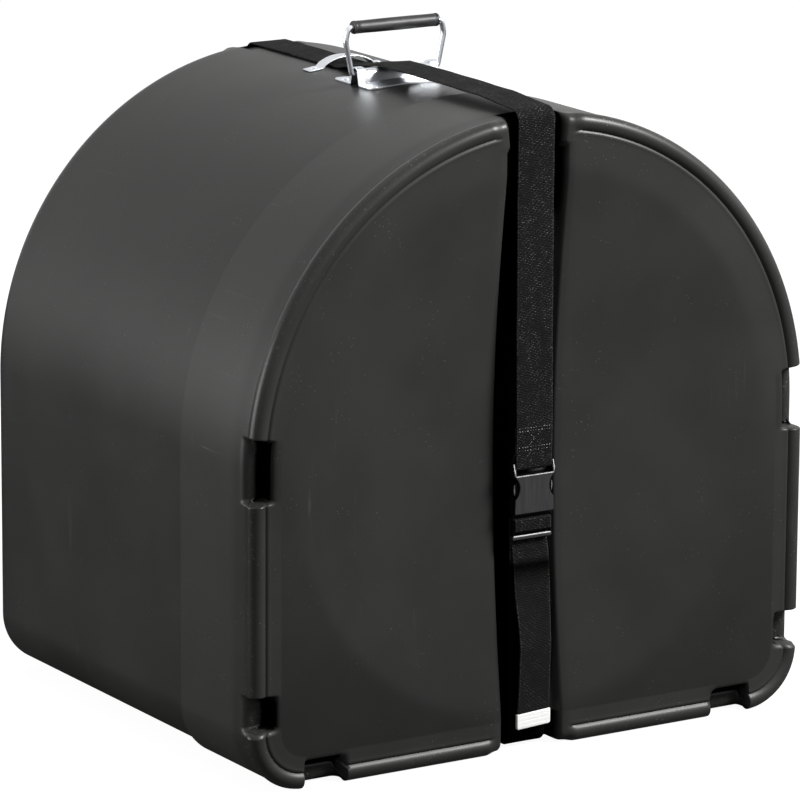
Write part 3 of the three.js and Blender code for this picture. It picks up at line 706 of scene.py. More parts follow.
def slab(name: str, outline: Sequence[tuple[float, float]], y0: float, y1: float) -> Piece:
    """A flat outline in X and Z, anticlockwise seen from the front, run from y0 to y1."""
    count = len(outline)
    points = [(x, y, z) for y in (y0, y1) for x, z in outline]
    faces: Faces = [tuple(range(count)), tuple(range(2 * count - 1, count - 1, -1))]
    faces += [(i, i + count, (i + 1) % count + count, (i + 1) % count) for i in range(count)]
    return make_object(name, points, faces, smooth=False)


def slab_across(name: str, outline: Sequence[tuple[float, float]], x0: float, x1: float) -> Piece:
    """A flat outline in Y and Z, run from x0 to x1."""
    made = slab(name, outline, x0, x1)
    for vertex in made.data.vertices:
        vertex.co = (vertex.co.y, vertex.co.x, vertex.co.z)
    return outward(made)


def outward(piece: Piece) -> Piece:
    """Turns a closed piece's faces outwards, judged by its volume."""
    if sum(face.area * face.normal.dot(face.center) for face in piece.data.polygons) < 0.0:
        piece.data.flip_normals()
    return piece


def tube_faces(rings: int, count: int, capped: bool = True) -> Faces:
    """Faces over rings of points: a tube with capped ends, or one that closes on itself.

    Args:
        rings: number of rings.
        count: points in each.
        capped: whether the ends are capped.

    Returns:
        The faces.
    """
    faces: Faces = []
    for k in range(rings - capped):
        here, after = k * count, (k + 1) % rings * count
        for i in range(count):
            j = (i + 1) % count
            faces.append((here + i, here + j, after + j, after + i))
    if capped:
        faces += [tuple(range(count - 1, -1, -1)), tuple(range((rings - 1) * count, rings * count))]
    return faces


def smoothstep(value: np.ndarray | float, low: float, high: float) -> np.ndarray:
    """Zero below low, one above high, and a smooth rise between."""
    share = np.clip((np.asarray(value, float) - low) / (high - low), 0.0, 1.0)
    return share * share * (3.0 - 2.0 * share)


def resample(profile: Sequence[tuple[float, float]], count: int) -> np.ndarray:
    """A profile as so many evenly spaced points, one per row."""
    points = np.array(profile, float)
    lengths = np.concatenate([[0.0], np.cumsum(np.hypot(*np.diff(points, axis=0).T))])
    even = np.linspace(0.0, lengths[-1], count)
    return np.stack([np.interp(even, lengths, points[:, k]) for k in range(2)], axis=1)


def arc_points(cx: float, cy: float, radius: float, start: float, end: float, count: int) -> Profile:
    """Points of an arc, its angles in degrees.

    Args:
        cx: centre, first axis.
        cy: centre, second axis.
        radius: the radius.
        start: first angle.
        end: last angle.
        count: number of steps.

    Returns:
        The points.
    """
    angles = np.radians(np.linspace(start, end, count + 1))
    return [(cx + radius * math.cos(a), cy + radius * math.sin(a)) for a in angles]


def circle_angles(count: int) -> np.ndarray:
    """Angles of evenly spaced points of a circle."""
    return np.linspace(0.0, 2.0 * math.pi, count, endpoint=False)


# The moulded case

@dataclass
class CaseOutline:
    """The D that both shells share: a round top, straight sides and rounded base corners."""

    half: float = 0.3365
    top: float = 0.667
    corner: float = 0.064

    @property
    def spring(self) -> float:
        """Height at which the round top starts."""
        return self.top - self.half

    @property
    def lengths(self) -> tuple[float, float, float, float]:
        """Lengths of half the outline: base, corner, side and half the top."""
        return (self.half - self.corner, self.corner * math.pi / 2, self.spring - self.corner,
                self.half * math.pi / 2)

    def at(self, along: np.ndarray) -> tuple[np.ndarray, np.ndarray]:
        """Points and outward normals, by distance from the middle of the base over the right-hand side.

        Args:
            along: distances, up to half the outline.

        Returns:
            Points and normals, each as rows of x and z.
        """
        base, corner, side, _ = self.lengths
        points = np.zeros((len(along), 2))
        normals = np.zeros((len(along), 2))
        for i, s in enumerate(along):
            if s <= base:
                points[i], normals[i] = (s, 0.0), (0.0, -1.0)
            elif s <= base + corner:
                a = (s - base) / self.corner
                normals[i] = (math.sin(a), -math.cos(a))
                points[i] = (base + self.corner * normals[i][0],
                             self.corner + self.corner * normals[i][1])
            elif s <= base + corner + side:
                points[i], normals[i] = (self.half, self.corner + s - base - corner), (1.0, 0.0)
            else:
                a = (s - base - corner - side) / self.half
                normals[i] = (math.cos(a), math.sin(a))
                points[i] = (self.half * normals[i][0], self.spring + self.half * normals[i][1])
        return points, normals

    def depth_in(self, x: np.ndarray, z: np.ndarray) -> np.ndarray:
        """How far points lie inside the outline."""
        ax = np.abs(x)
        inner = np.minimum(self.half - ax, z)
        round_top = self.half - np.hypot(ax, z - self.spring)
        in_corner = self.corner - np.hypot(ax - (self.half - self.corner), self.corner - z)
        depth = np.where(z > self.spring, round_top, inner)
        corner_zone = (ax > self.half - self.corner) & (z < self.corner)
        return np.where(corner_zone, in_corner, depth)


@dataclass
class Notch:
    """One interlock notch, by where it lies along half the outline."""

    start: float
    end: float
    seat: float
    soft: float = 0.007

    def share(self, along: np.ndarray) -> np.ndarray:
        """One inside the notch and zero outside, with soft ends."""
        half = self.soft / 2
        rise = smoothstep(along, self.start - half, self.start + half)
        fall = smoothstep(along, self.end - half, self.end + half)
        return rise * (1.0 - fall)


@dataclass
class MouldedSkin:
    """One shell of the case: an end panel with its dish and strap channel, its rim, and the side wall.

    Profiles across the rim are given as (inset from the outline, depth behind the end), in metres.
    """

    name: str
    facing: Facing
    end: float
    reach: float
    inset: float
    panel: float
    dish: float
    dish_radius: float
    rim: Profile
    groove_half: float
    groove_depth: float
    dish_height: float = 0.322
    channel_depth: float = 0.0095
    channel_foot: float = 0.004
    channel_round: float = 0.010
    wall: float = 0.004
    panel_inset: float = PANEL_INSET
    channel_floor: float = 0.031
    channel_lip: float = 0.0465
    notches: list[Notch] = field(default_factory=list)
    outline: CaseOutline = field(default_factory=CaseOutline)
    coarse: float = 0.0062
    fine: float = 0.0013
    rim_count: int = 40
    side_rows: Sequence[float] = (0.03, 0.08, 0.13, 0.30, 0.55, 0.80, 1.0)
    skirt_tone: float = 1.0
    lip_inset: tuple[float, float] = (0.0228, 0.0236)
    lip_depth: tuple[float, float] = (0.0032, 0.0070)
    slot_depth: tuple[float, float] = (0.0185, 0.0215)
    seat_inset: tuple[float, float] = (0.0080, 0.0145)
    wear_peak: float = 0.62
    wear_spread: float = 0.16
    wall_wear: float = 0.12

    def channel_share(self, x: np.ndarray) -> np.ndarray:
        """How much of the channel's depth is reached at a distance from the middle."""
        ax = np.abs(x)
        steep = 1.0 - smoothstep(ax, self.channel_floor - 0.001, self.channel_floor + 0.0075)
        soft = 1.0 - smoothstep(ax, self.channel_floor + 0.002, self.channel_lip)
        return 0.86 * steep + 0.14 * soft

    def face_depth(self, x: np.ndarray, z: np.ndarray) -> np.ndarray:
        """Depth of the panel behind the end, with its dish and channel."""
        radius = np.clip(np.hypot(x, z - self.dish_height) / self.dish_radius, 0.0, 1.0)
        bowl = self.dish * (1.0 - radius ** 2) ** 1.08
        foot = self.channel_foot * np.clip(1.0 - z / 0.16, 0.0, 1.0) ** 2
        return self.panel + bowl + (self.channel_depth + foot) * self.channel_share(x)

    def painted_panel_shading(self, x: np.ndarray, z: np.ndarray) -> np.ndarray:
        """The panel's painted shade and light: black painted shade in the channel; its right wall has
        painted shade only at the top and painted light below.
        """
        share = self.channel_share(x)
        right = smoothstep(x, 0.018, 0.022) * (1.0 - smoothstep(z, 0.52, 0.58))
        return 1.0 - 0.95 * share * (1.0 - right) + 0.5 * share * right

    def half_stations(self) -> np.ndarray:
        """Distances along half the outline for the skin's sections, closer together at features."""
        base, corner, side, top = self.outline.lengths
        total = base + corner + side + top
        marks = [(0.0, 0.056, 0.0030), (self.channel_floor, 0.012, self.fine),
                 (total - self.channel_floor, 0.013, self.fine), (total, 0.056, 0.0030)]
        for notch in self.notches:
            marks += [(notch.start, 0.0065, 0.0010), (notch.end, 0.0065, 0.0010)]
        marks += [(base + corner / 2, corner / 2 + 0.004, 0.0045)]
        stations = [0.0]
        while stations[-1] < total - 1e-9:
            here = stations[-1]
            step = self.coarse
            for place, reach, pace in marks:
                if abs(here - place) <= reach:
                    step = min(step, pace)
                elif here < place - reach < here + step:
                    step = min(step, max(place - reach - here, self.fine * 0.6))
            stations.append(min(here + step, total))
        if stations[-1] - stations[-2] < 0.0004:
            stations.pop(-2)
        return np.array(stations)

    def notch_profile(self, notch: Notch) -> Profile:
        """The rim's section through a notch: lip, slot, seat and the softened outer edge."""
        slot_out, slot_in = notch.seat + 0.0075, notch.seat
        skirt = self.inset
        return [
            (self.panel_inset, self.panel), (slot_out + 0.0055, self.panel),
            *arc_points(slot_out + 0.0055, self.panel + 0.0055, 0.0055, -90.0, -180.0, 5),
            (slot_out, 0.028), (slot_out - 0.001, 0.0345), (slot_in + 0.001, 0.0345), (slot_in, 0.028),
            (slot_in, 0.0215), *arc_points(slot_in - 0.002, 0.0205, 0.002, 0.0, -90.0, 3),
            *arc_points(skirt + 0.009, 0.0275, 0.009, -90.0, -180.0, 6), (skirt, 0.034),
        ]

    def channel_profile(self, base: float) -> Profile:
        """The rim's section through the strap channel.

        Args:
            base: one at the base of the case and zero at its top.

        Returns:
            The profile.
        """
        floor = self.panel + self.channel_depth + self.channel_foot * base
        surface = self.inset + self.groove_depth * base
        r = self.channel_round
        return [(self.panel_inset, floor), (surface + r, floor),
                *arc_points(surface + r, floor + r, r, -90.0, -180.0, 7), (surface, floor + r + 0.010)]

    def flat_profile(self) -> Profile:
        """The rim's section beside the channel, where the bead has run out into a rounded edge."""
        r = self.channel_round
        return [(self.panel_inset, self.panel), (self.inset + r, self.panel),
                *arc_points(self.inset + r, self.panel + r, r, -90.0, -180.0, 8), (self.inset, 0.034)]

    def bead_end(self, x: np.ndarray) -> np.ndarray:
        """One where the bead has run out beside the channel and zero where it stands."""
        return 1.0 - smoothstep(np.abs(x), self.channel_lip - 0.003, self.channel_lip + 0.008)

    def sections(self, along: np.ndarray, x: np.ndarray) -> np.ndarray:
        """The rim's section at each station.

        Args:
            along: distances along half the outline.
            x: the stations' distances from the middle.

        Returns:
            Insets and depths, by station and by place across the rim.
        """
        plain = resample(self.rim, self.rim_count)
        sections = np.repeat(plain[None], len(along), axis=0)
        for notch in self.notches:
            share = notch.share(along)[:, None, None]
            cut = resample(self.notch_profile(notch), self.rim_count)[None]
            sections = sections * (1.0 - share) + cut * share
        ended = self.bead_end(x)[:, None, None]
        flat = resample(self.flat_profile(), self.rim_count)[None]
        sections = sections * (1.0 - ended) + flat * ended
        low = along < sum(self.outline.lengths) / 2
        share = self.channel_share(x)[:, None, None]
        for base, mask in ((1.0, low), (0.0, ~low)):
            cut = resample(self.channel_profile(base), self.rim_count)[None]
            sections[mask] = (sections * (1.0 - share) + cut * share)[mask]
        return sections

    def skin(self) -> Piece:
        """The outer surface as one open mesh.

        Returns:
            The object, with the "wear" of its edges and its painted shade and light stored on its
            points.
        """
        half = self.half_stations()
        points, normals = self.outline.at(half)
        sections = self.sections(half, points[:, 0])
        groove = (1.0 - smoothstep(np.abs(points[:, 0]), self.groove_half - 0.004, self.groove_half))
        groove = groove * (normals[:, 1] < -0.5) * self.groove_depth
        rows = []
        cut = sum((notch.share(half) for notch in self.notches), np.zeros(len(half)))
        sunk = self.channel_share(points[:, 0])
        rim_painted_shade = []
        for k in range(self.rim_count):
            inset, depth = sections[:, k, 0], sections[:, k, 1]
            rows.append((inset, depth))
            lip = smoothstep(inset, *self.lip_inset) * smoothstep(depth, *self.lip_depth)
            below = np.maximum(smoothstep(depth, *self.slot_depth), lip)
            # Painted shade: the notches' slots and seats and the strap channel darken towards black.
            seat = cut * (0.25 + 0.75 * below) * smoothstep(inset, *self.seat_inset)
            rim_painted_shade.append(1.0 - np.maximum(seat, sunk * 0.85))
        last_depth, last_inset = sections[:, -1, 1], sections[:, -1, 0]
        for place in self.side_rows:
            share = float(smoothstep(place, 0.0, 0.12))
            inset = last_inset * (1.0 - share) + (self.inset + groove) * share
            rows.append((inset, last_depth + (self.reach - last_depth) * place))
        rings = []
        for inset, depth in rows:
            right = points - normals * np.asarray(inset)[:, None]
            left = right[1:-1][::-1] * np.array([-1.0, 1.0])
            flat = np.concatenate([right, left])
            deep = np.concatenate([depth, depth[1:-1][::-1]])
            rings.append((flat, deep))
        count = len(rings[0][0])
        border = rings[0][0]
        border_depth = self.face_depth(border[:, 0], border[:, 1])
        panel, panel_faces = self.panel_mesh(border)
        sign = -self.facing.value
        cloud = [(x, self.end + sign * d, z) for (x, z), d in zip(border, border_depth)]
        inner = panel[count:]
        inner_depth = self.face_depth(inner[:, 0], inner[:, 1])
        cloud += [(x, self.end + sign * d, z) for (x, z), d in zip(inner, inner_depth)]
        wear = [0.0] * len(cloud)
        tone = list(self.painted_panel_shading(panel[:, 0], panel[:, 1]))
        faces: Faces = [tuple(f) for f in panel_faces]
        previous = list(range(count))
        for k, (flat, deep) in enumerate(rings[1:], start=1):
            first = len(cloud)
            extra = (border_depth - deep) * (1.0 - k / 4) if k <= 3 else 0.0
            cloud += [(x, self.end + sign * d, z) for (x, z), d in zip(flat, deep + extra)]
            from_peak = (k / self.rim_count - self.wear_peak) / self.wear_spread
            wear += [math.exp(-from_peak ** 2) if k < self.rim_count else self.wall_wear] * count
            if k < self.rim_count:
                tone += [*rim_painted_shade[k], *rim_painted_shade[k][1:-1][::-1]]
            else:
                # The lid skirt's lighter tone, and painted shade in the groove at the base where the
                # strap runs under the case.
                lit = self.skirt_tone ** float(smoothstep(k - self.rim_count, -1, 2))
                shade = lit * (1.0 - 0.6 * sunk * (normals[:, 1] < -0.5))
                tone += [*shade, *shade[1:-1][::-1]]
            now = list(range(first, first + count))
            for i in range(count):
                j = (i + 1) % count
                faces.append((now[i], now[j], previous[j], previous[i]))
            previous = now
        made = make_object(self.name, np.array(cloud), faces)
        self.turn_out(made)
        dark = np.array(tone, float)
        light = np.ones(len(dark))
        # Painted shade: the end panel darkens towards its foot.
        light[:len(panel)] = 0.60 + 0.40 * smoothstep(panel[:, 1], 0.02, 0.42)
        # Dead black painted shade where the painted tone falls low.
        soot = np.clip(1.6 - 2.1 * dark, 0.0, 1.0)
        for title, values in (("wear", wear), ("tone", dark * light), ("soot", soot)):
            attribute = made.data.attributes.new(title, "FLOAT", "POINT")
            attribute.data.foreach_set("value", np.array(values, float))
        return made

    def panel_mesh(self, border: np.ndarray) -> tuple[np.ndarray, list[list[int]]]:
        """Triangles over the end panel, closer together across the channel's walls.

        Args:
            border: the panel's outline, as rows of x and z.

        Returns:
            Points, with the border's first, and faces.
        """
        lip, floor = self.channel_lip, self.channel_floor
        walls = np.arange(floor - 0.003, lip + 0.001, 0.0014)
        wide = np.arange(lip + 0.007, self.outline.half, 0.0088)
        middle = np.array([0.0, 0.010, 0.020])
        columns = np.concatenate([middle, walls, wide])
        columns = np.unique(np.round(np.concatenate([-columns, columns]), 6))
        levels = np.arange(self.panel_inset + 0.004, self.outline.top - self.panel_inset, 0.0088)
        x, z = [a.ravel() for a in np.meshgrid(columns, levels)]
        keep = self.outline.depth_in(x, z) > self.panel_inset + 0.0042
        inner = np.stack([x[keep], z[keep]], axis=1)
        points = np.concatenate([border, inner])
        count = len(border)
        edges = [(i, (i + 1) % count) for i in range(count)]
        result = delaunay_2d_cdt([Vector(p) for p in points], edges, [], 1, 1e-7)
        new_points, _, new_faces, origins, _, _ = result
        back = [origin[0] if origin else None for origin in origins]
        if len(new_points) != len(points) or None in back:
            raise RuntimeError(f"{self.name}: the panel's triangles added points")
        return points, [[back[i] for i in face] for face in new_faces]

    def turn_out(self, piece: Piece) -> None:
        """Turns the skin's faces outwards, judged by its end panel."""
        mesh = piece.data
        mesh.update()
        areas = sum(p.area * p.normal.y for p in mesh.polygons if abs(p.normal.y) > 0.9)
        if areas * self.facing.value < 0:
            mesh.flip_normals()
        walls = sum(p.area * (p.normal.x * p.center.x + p.normal.z * (p.center.z - self.outline.spring))
                    for p in mesh.polygons if abs(p.normal.y) < 0.3)
        if walls < 0:
            LOG.warning("%s: its side wall faces inwards", self.name)

    def build(self) -> Piece:
        """The finished skin with its wall."""
        return soften(thicken(self.skin(), self.wall), 60.0)


def rolled_rim(radius: float, side: float, face: float, panel_inset: float) -> Profile:
    """Section of the lid's rolled rim, from the panel over the bead to the skirt.

    Args:
        radius: the bead's radius.
        side: how far it stands proud of the skirt.
        face: how far it stands proud of the panel.
        panel_inset: where the section starts, measured in from the outline.

    Returns:
        The profile.
    """
    foot = math.degrees(math.asin((radius - face) / radius))
    heel = math.degrees(math.asin(math.sqrt(radius ** 2 - (radius - side) ** 2) / radius))
    outer = arc_points(radius, radius, radius, -foot + 9.0, -180.0 - heel + 6.0, 22)
    inset, _ = outer[0]
    return [
        (panel_inset, face), (inset + 0.008, face), (inset + 0.0045, face - 0.0001),
        (inset + 0.0022, face - 0.0006),
        *outer, (side + 0.0003, outer[-1][1] + 0.0012), (side, outer[-1][1] + 0.003), (side, 0.034),
    ]


@dataclass
class Case:
    """The rear shell and the telescoping lid."""

    front: float = -0.2775
    back: float = 0.2775
    shell_inset: float = 0.006
    skirt_inset: float = 0.0015
    lid_depth: float = 0.146
    shell_depth: float = 0.513
    panel_behind: float = 0.0026
    finish: MouldedShell = field(default_factory=MouldedShell)

    def lid_skin(self) -> MouldedSkin:
        """The lid's measurements."""
        base, corner, *_ = CaseOutline().lengths
        foot_of_side = base + corner
        return MouldedSkin(
            name="lid_moulding", facing=Facing.FRONT, end=self.front, reach=self.lid_depth,
            inset=self.skirt_inset, panel=self.panel_behind, dish=0.0215, dish_radius=0.286,
            rim=rolled_rim(0.0098, self.skirt_inset, self.panel_behind, PANEL_INSET),
            groove_half=0.030, groove_depth=0.0045, skirt_tone=1.2,
            notches=[
                Notch(0.2300, 0.2722, 0.0215),
                Notch(foot_of_side + 0.004, foot_of_side + 0.037, 0.0225),
                Notch(foot_of_side + 0.240, foot_of_side + 0.303, 0.0165),
            ],
        )

    def shell_skin(self) -> MouldedSkin:
        """The rear shell's measurements."""
        inset, rounding = self.shell_inset, 0.018
        rim = [(PANEL_INSET, 0.0), (inset + rounding + 0.004, 0.0),
               *arc_points(inset + rounding, rounding, rounding, -90.0, -180.0, 14),
               (inset, rounding + 0.014)]
        return MouldedSkin(
            name="shell_moulding", facing=Facing.BACK, end=self.back, reach=self.shell_depth,
            inset=inset, panel=0.0, dish=0.012, dish_radius=0.280, rim=rim,
            groove_half=0.036, groove_depth=0.005, channel_floor=0.033, channel_lip=0.048,
            side_rows=(0.03, 0.06, 0.12, 0.22, 0.34, 0.46, 0.58, 0.70, 0.82, 0.92, 1.0),
        )

    def feet(self) -> Piece:
        """The two moulded feet under the shell, with rounded edges."""
        blocks = []
        for side in (-1.0, 1.0):
            low = (side * 0.190 - 0.035, self.back - 0.086, 0.0)
            high = (side * 0.190 + 0.035, self.back - 0.040, 0.0075)
            blocks.append(bevel(box_mesh("foot", low, high), 0.0022, 3))
        return join("shell_feet", blocks)

    def build(self, maker: "Dresser") -> None:
        """Makes and dresses the case.

        Args:
            maker: what dresses and reports the pieces.
        """
        material = self.finish.build()
        maker.place(self.lid_skin().build(), Body.LID, material, "shell_plastic", "front_lid")
        maker.place(self.shell_skin().build(), Body.SHELL, material, "shell_plastic", "rear_shell")
        maker.place(self.feet(), Body.SHELL, material, "shell_plastic")


@dataclass
class Dresser:
    """Gives each finished piece its material, hides the frame's nodes that it stands for, puts a rigid
    piece on its body, and reports it.
    """

    made: list[Piece] = field(default_factory=list)

    def place(self, piece: Piece, body: Body, material: Finish, slot: str,
              *nodes: str) -> Piece:
        """Finishes a piece that rides on one body.

        Args:
            piece: the piece.
            body: the body that it moves with.
            material: its material.
            slot: not used.
            nodes: the frame's nodes that it stands for.

        Returns:
            The piece.
        """
        self.dress(piece, material, nodes)
        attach(piece, body.value)
        LOG.info("%-22s on %-11s %6d faces", piece.name, body.value, len(piece.data.polygons))
        return piece

    def stretch(self, piece: Piece, first: Body, second: Body, start: Sequence[float],
                end: Sequence[float], material: Finish, slot: str, *nodes: str) -> Piece:
        """Finishes a piece of webbing that crosses a joint, baked where it lies and put on no body.

        Args:
            piece: the piece.
            first: a body that is only named in the log.
            second: another body that is only named in the log.
            start: not used.
            end: not used.
            material: its material.
            slot: not used.
            nodes: the frame's nodes that it stands for.

        Returns:
            The piece.
        """
        self.dress(piece, material, nodes)
        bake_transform(piece)
        LOG.info("%-22s on %s and %s, %d faces", piece.name, first.value, second.value,
                 len(piece.data.polygons))
        return piece

    def dress(self, piece: Piece, material: Finish,
              nodes: Sequence[str]) -> None:
        """Sets a piece's material, hides the frame's nodes that it replaces, and keeps it in the list.
        """
        piece.data.materials.clear()
        piece.data.materials.append(material)
        if nodes:
            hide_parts(*nodes)
        self.made.append(piece)


# Paths and sweeps

@dataclass
class Run:
    """A centre line through corners that are rounded off."""

    corners: Sequence[tuple[float, ...]]
    bends: Sequence[float]
    pace: float = 0.006
    turn: float = 9.0

    def sample(self) -> tuple[np.ndarray, np.ndarray]:
        """Points along the run and the distances to them.

        Returns:
            The points and their distances from the start.
        """
        corners = [np.array(c, float) for c in self.corners]
        points = [corners[0]]
        for i in range(1, len(corners) - 1):
            before, here, after = corners[i - 1], corners[i], corners[i + 1]
            way_in = (here - before) / np.linalg.norm(here - before)
            way_out = (after - here) / np.linalg.norm(after - here)
            angle = math.acos(float(np.clip(way_in @ way_out, -1.0, 1.0)))
            if angle < 1e-3 or self.bends[i] <= 0.0:
                points.append(here)
                continue
            reach = self.bends[i] * math.tan(angle / 2)
            inwards = (way_out - way_in) / np.linalg.norm(way_out - way_in)
            centre = here + inwards * self.bends[i] / math.cos(angle / 2)
            start = here - way_in * reach
            spoke = start - centre
            steps = max(2, math.ceil(math.degrees(angle) / self.turn))
            for k in range(steps + 1):
                a = angle * k / steps
                points.append(centre + spoke * math.cos(a) + way_in * self.bends[i] * math.sin(a))
        points.append(corners[-1])
        dense = [points[0]]
        for point in points[1:]:
            gap = point - dense[-1]
            length = float(np.linalg.norm(gap))
            if length < 1e-7:
                continue
            count = max(1, math.ceil(length / self.pace))
            origin = dense[-1]
            dense += [origin + gap * (k + 1) / count for k in range(count)]
        line = np.array(dense)
        distances = np.concatenate([[0.0], np.cumsum(np.linalg.norm(np.diff(line, axis=0), axis=1))])
        return line, distances


def tangents(line: np.ndarray) -> np.ndarray:
    """Unit direction at each point of a line."""
    way = np.gradient(line, axis=0)
    return way / np.linalg.norm(way, axis=1)[:, None]


def tube(name: str, line: np.ndarray, section: np.ndarray,
         up: Sequence[float] = (0.0, 1.0, 0.0)) -> Piece:
    """A closed section swept along a line with its own up direction.

    Args:
        name: the piece's name.
        line: the centre line.
        section: the section's points, sideways and up, anticlockwise seen from the line's end.
        up: the direction that stays the section's up.

    Returns:
        The piece, with flat ends.
    """
    way = tangents(line)
    fixed = np.array(up, float)
    points = []
    for place, along in zip(line, way):
        rise = fixed - along * (fixed @ along)
        rise /= np.linalg.norm(rise)
        side = np.cross(rise, along)
        points += [place + side * a + rise * b for a, b in section]
    return outward(make_object(name, np.array(points), tube_faces(len(line), len(section)), sharp=50.0))


# Geometry Nodes groups

class NodeTree(Nodes):
    """A Geometry Nodes group that turns a guide mesh into pieces with a finish."""

    sizes: dict[str, tuple[str, object]] = {}

    def __init__(self, name: str) -> None:
        """Builds the group of that name with its named inputs."""
        super().__init__(bpy.data.node_groups.new(name, "GeometryNodeTree"))
        self.sockets: dict[str, str] = {}
        face = self.tree.interface
        face.new_socket("Geometry", in_out="INPUT", socket_type="NodeSocketGeometry")
        for title, (kind, value) in {**self.sizes, "Finish": ("NodeSocketMaterial", None)}.items():
            item = face.new_socket(title, in_out="INPUT", socket_type=kind)
            if value is not None:
                item.default_value = value
            self.sockets[title] = item.identifier
        face.new_socket("Geometry", in_out="OUTPUT", socket_type="NodeSocketGeometry")
        self.start = self.add("NodeGroupInput")
        real = self.add("GeometryNodeRealizeInstances", {0: self.shape(self.start.outputs[0])})
        finish = self.add("GeometryNodeSetMaterial", {
            0: real.outputs[0], "Material": self.start.outputs["Finish"]})
        self.tree.links.new(finish.outputs[0], self.add("NodeGroupOutput").inputs[0])

    def shape(self, guide: Socket) -> Socket:
        """The nodes between the guide and its finish; each kind of piece has its own."""
        raise NotImplementedError

    def run(self, piece: Piece, values: dict[str, object]) -> Piece:
        """Runs the group on a guide and makes the result a plain mesh.

        Args:
            piece: the guide object.
            values: the group's inputs by name.

        Returns:
            The finished piece.
        """
        mod = piece.modifiers.new("shape", "NODES")
        mod.node_group = self.tree
        for title, value in values.items():
            mod[self.sockets[title]] = value
        return soften(apply_modifiers(piece))


class StitchRows(NodeTree):
    """Stitches along the edges of a guide: short bars whose ends dip into the webbing."""

    sizes = {"Pace": ("NodeSocketFloat", 0.003), "Length": ("NodeSocketFloat", 0.002),
             "Radius": ("NodeSocketFloat", 0.0003)}

    def shape(self, guide: Socket) -> Socket:
        """A tapered bar at each step along the guide."""
        length = self.start.outputs["Length"]
        curve = self.add("GeometryNodeMeshToCurve", {0: guide})
        points = self.add("GeometryNodeCurveToPoints",
                          {0: curve.outputs[0], "Length": self.start.outputs["Pace"]},
                          mode="LENGTH")
        bar = self.add("GeometryNodeMeshCylinder",
                       {"Radius": self.start.outputs["Radius"], "Depth": length,
                        "Vertices": 8, "Side Segments": 3})
        place = self.add("GeometryNodeInputPosition")
        split = self.add("ShaderNodeSeparateXYZ", {0: place.outputs[0]})
        share = self.add("ShaderNodeMath", {0: split.outputs[2], 1: length}, operation="DIVIDE")
        square = self.add("ShaderNodeMath", {0: share.outputs[0], 1: share.outputs[0]},
                          operation="MULTIPLY")
        keep = self.add("ShaderNodeMapRange", {0: square.outputs[0], 1: 0.0, 2: 0.25, 3: 1.0, 4: 0.35})
        flat = self.add("ShaderNodeCombineXYZ", {0: keep.outputs[0], 1: keep.outputs[0], 2: 1.0})
        moved = self.add("ShaderNodeVectorMath", {0: place.outputs[0], 1: flat.outputs[0]},
                         operation="MULTIPLY")
        stitch = self.add("GeometryNodeSetPosition",
                          {0: bar.outputs["Mesh"], "Position": moved.outputs[0]})
        turn = self.add("FunctionNodeAlignEulerToVector", {"Vector": points.outputs["Tangent"]},
                        axis="Z")
        return self.add("GeometryNodeInstanceOnPoints", {
            "Points": points.outputs["Points"], "Instance": stitch.outputs[0],
            "Rotation": turn.outputs[0],
        }).outputs[0]


class WireSweep(NodeTree):
    """Round wire along the edges of a guide."""

    sizes = {"Radius": ("NodeSocketFloat", 0.003), "Facets": ("NodeSocketInt", 24)}

    def shape(self, guide: Socket) -> Socket:
        """A circle swept along the guide."""
        curve = self.add("GeometryNodeMeshToCurve", {0: guide})
        facets, radius = self.start.outputs["Facets"], self.start.outputs["Radius"]
        circle = self.add("GeometryNodeCurvePrimitiveCircle", {"Resolution": facets, "Radius": radius})
        return self.add("GeometryNodeCurveToMesh",
                        {0: curve.outputs[0], 1: circle.outputs[0]}).outputs[0]


class RivetSet(NodeTree):
    """A copy of one rivet at each point of a guide, square to the direction stored there as "lean"."""

    sizes = {"Form": ("NodeSocketObject", None)}

    def shape(self, guide: Socket) -> Socket:
        """The rivet's form on every point, turned to its lean."""
        form = self.add("GeometryNodeObjectInfo", {"Object": self.start.outputs["Form"]})
        lean = self.add("GeometryNodeInputNamedAttribute", {"Name": "lean"}, data_type="FLOAT_VECTOR")
        turn = self.add("FunctionNodeAlignEulerToVector", {"Vector": lean.outputs[0]}, axis="Z")
        points = self.add("GeometryNodeMeshToPoints", {0: guide})
        return self.add("GeometryNodeInstanceOnPoints", {
            "Points": points.outputs[0], "Instance": form.outputs["Geometry"],
            "Rotation": turn.outputs[0],
        }).outputs[0]


# Webbing

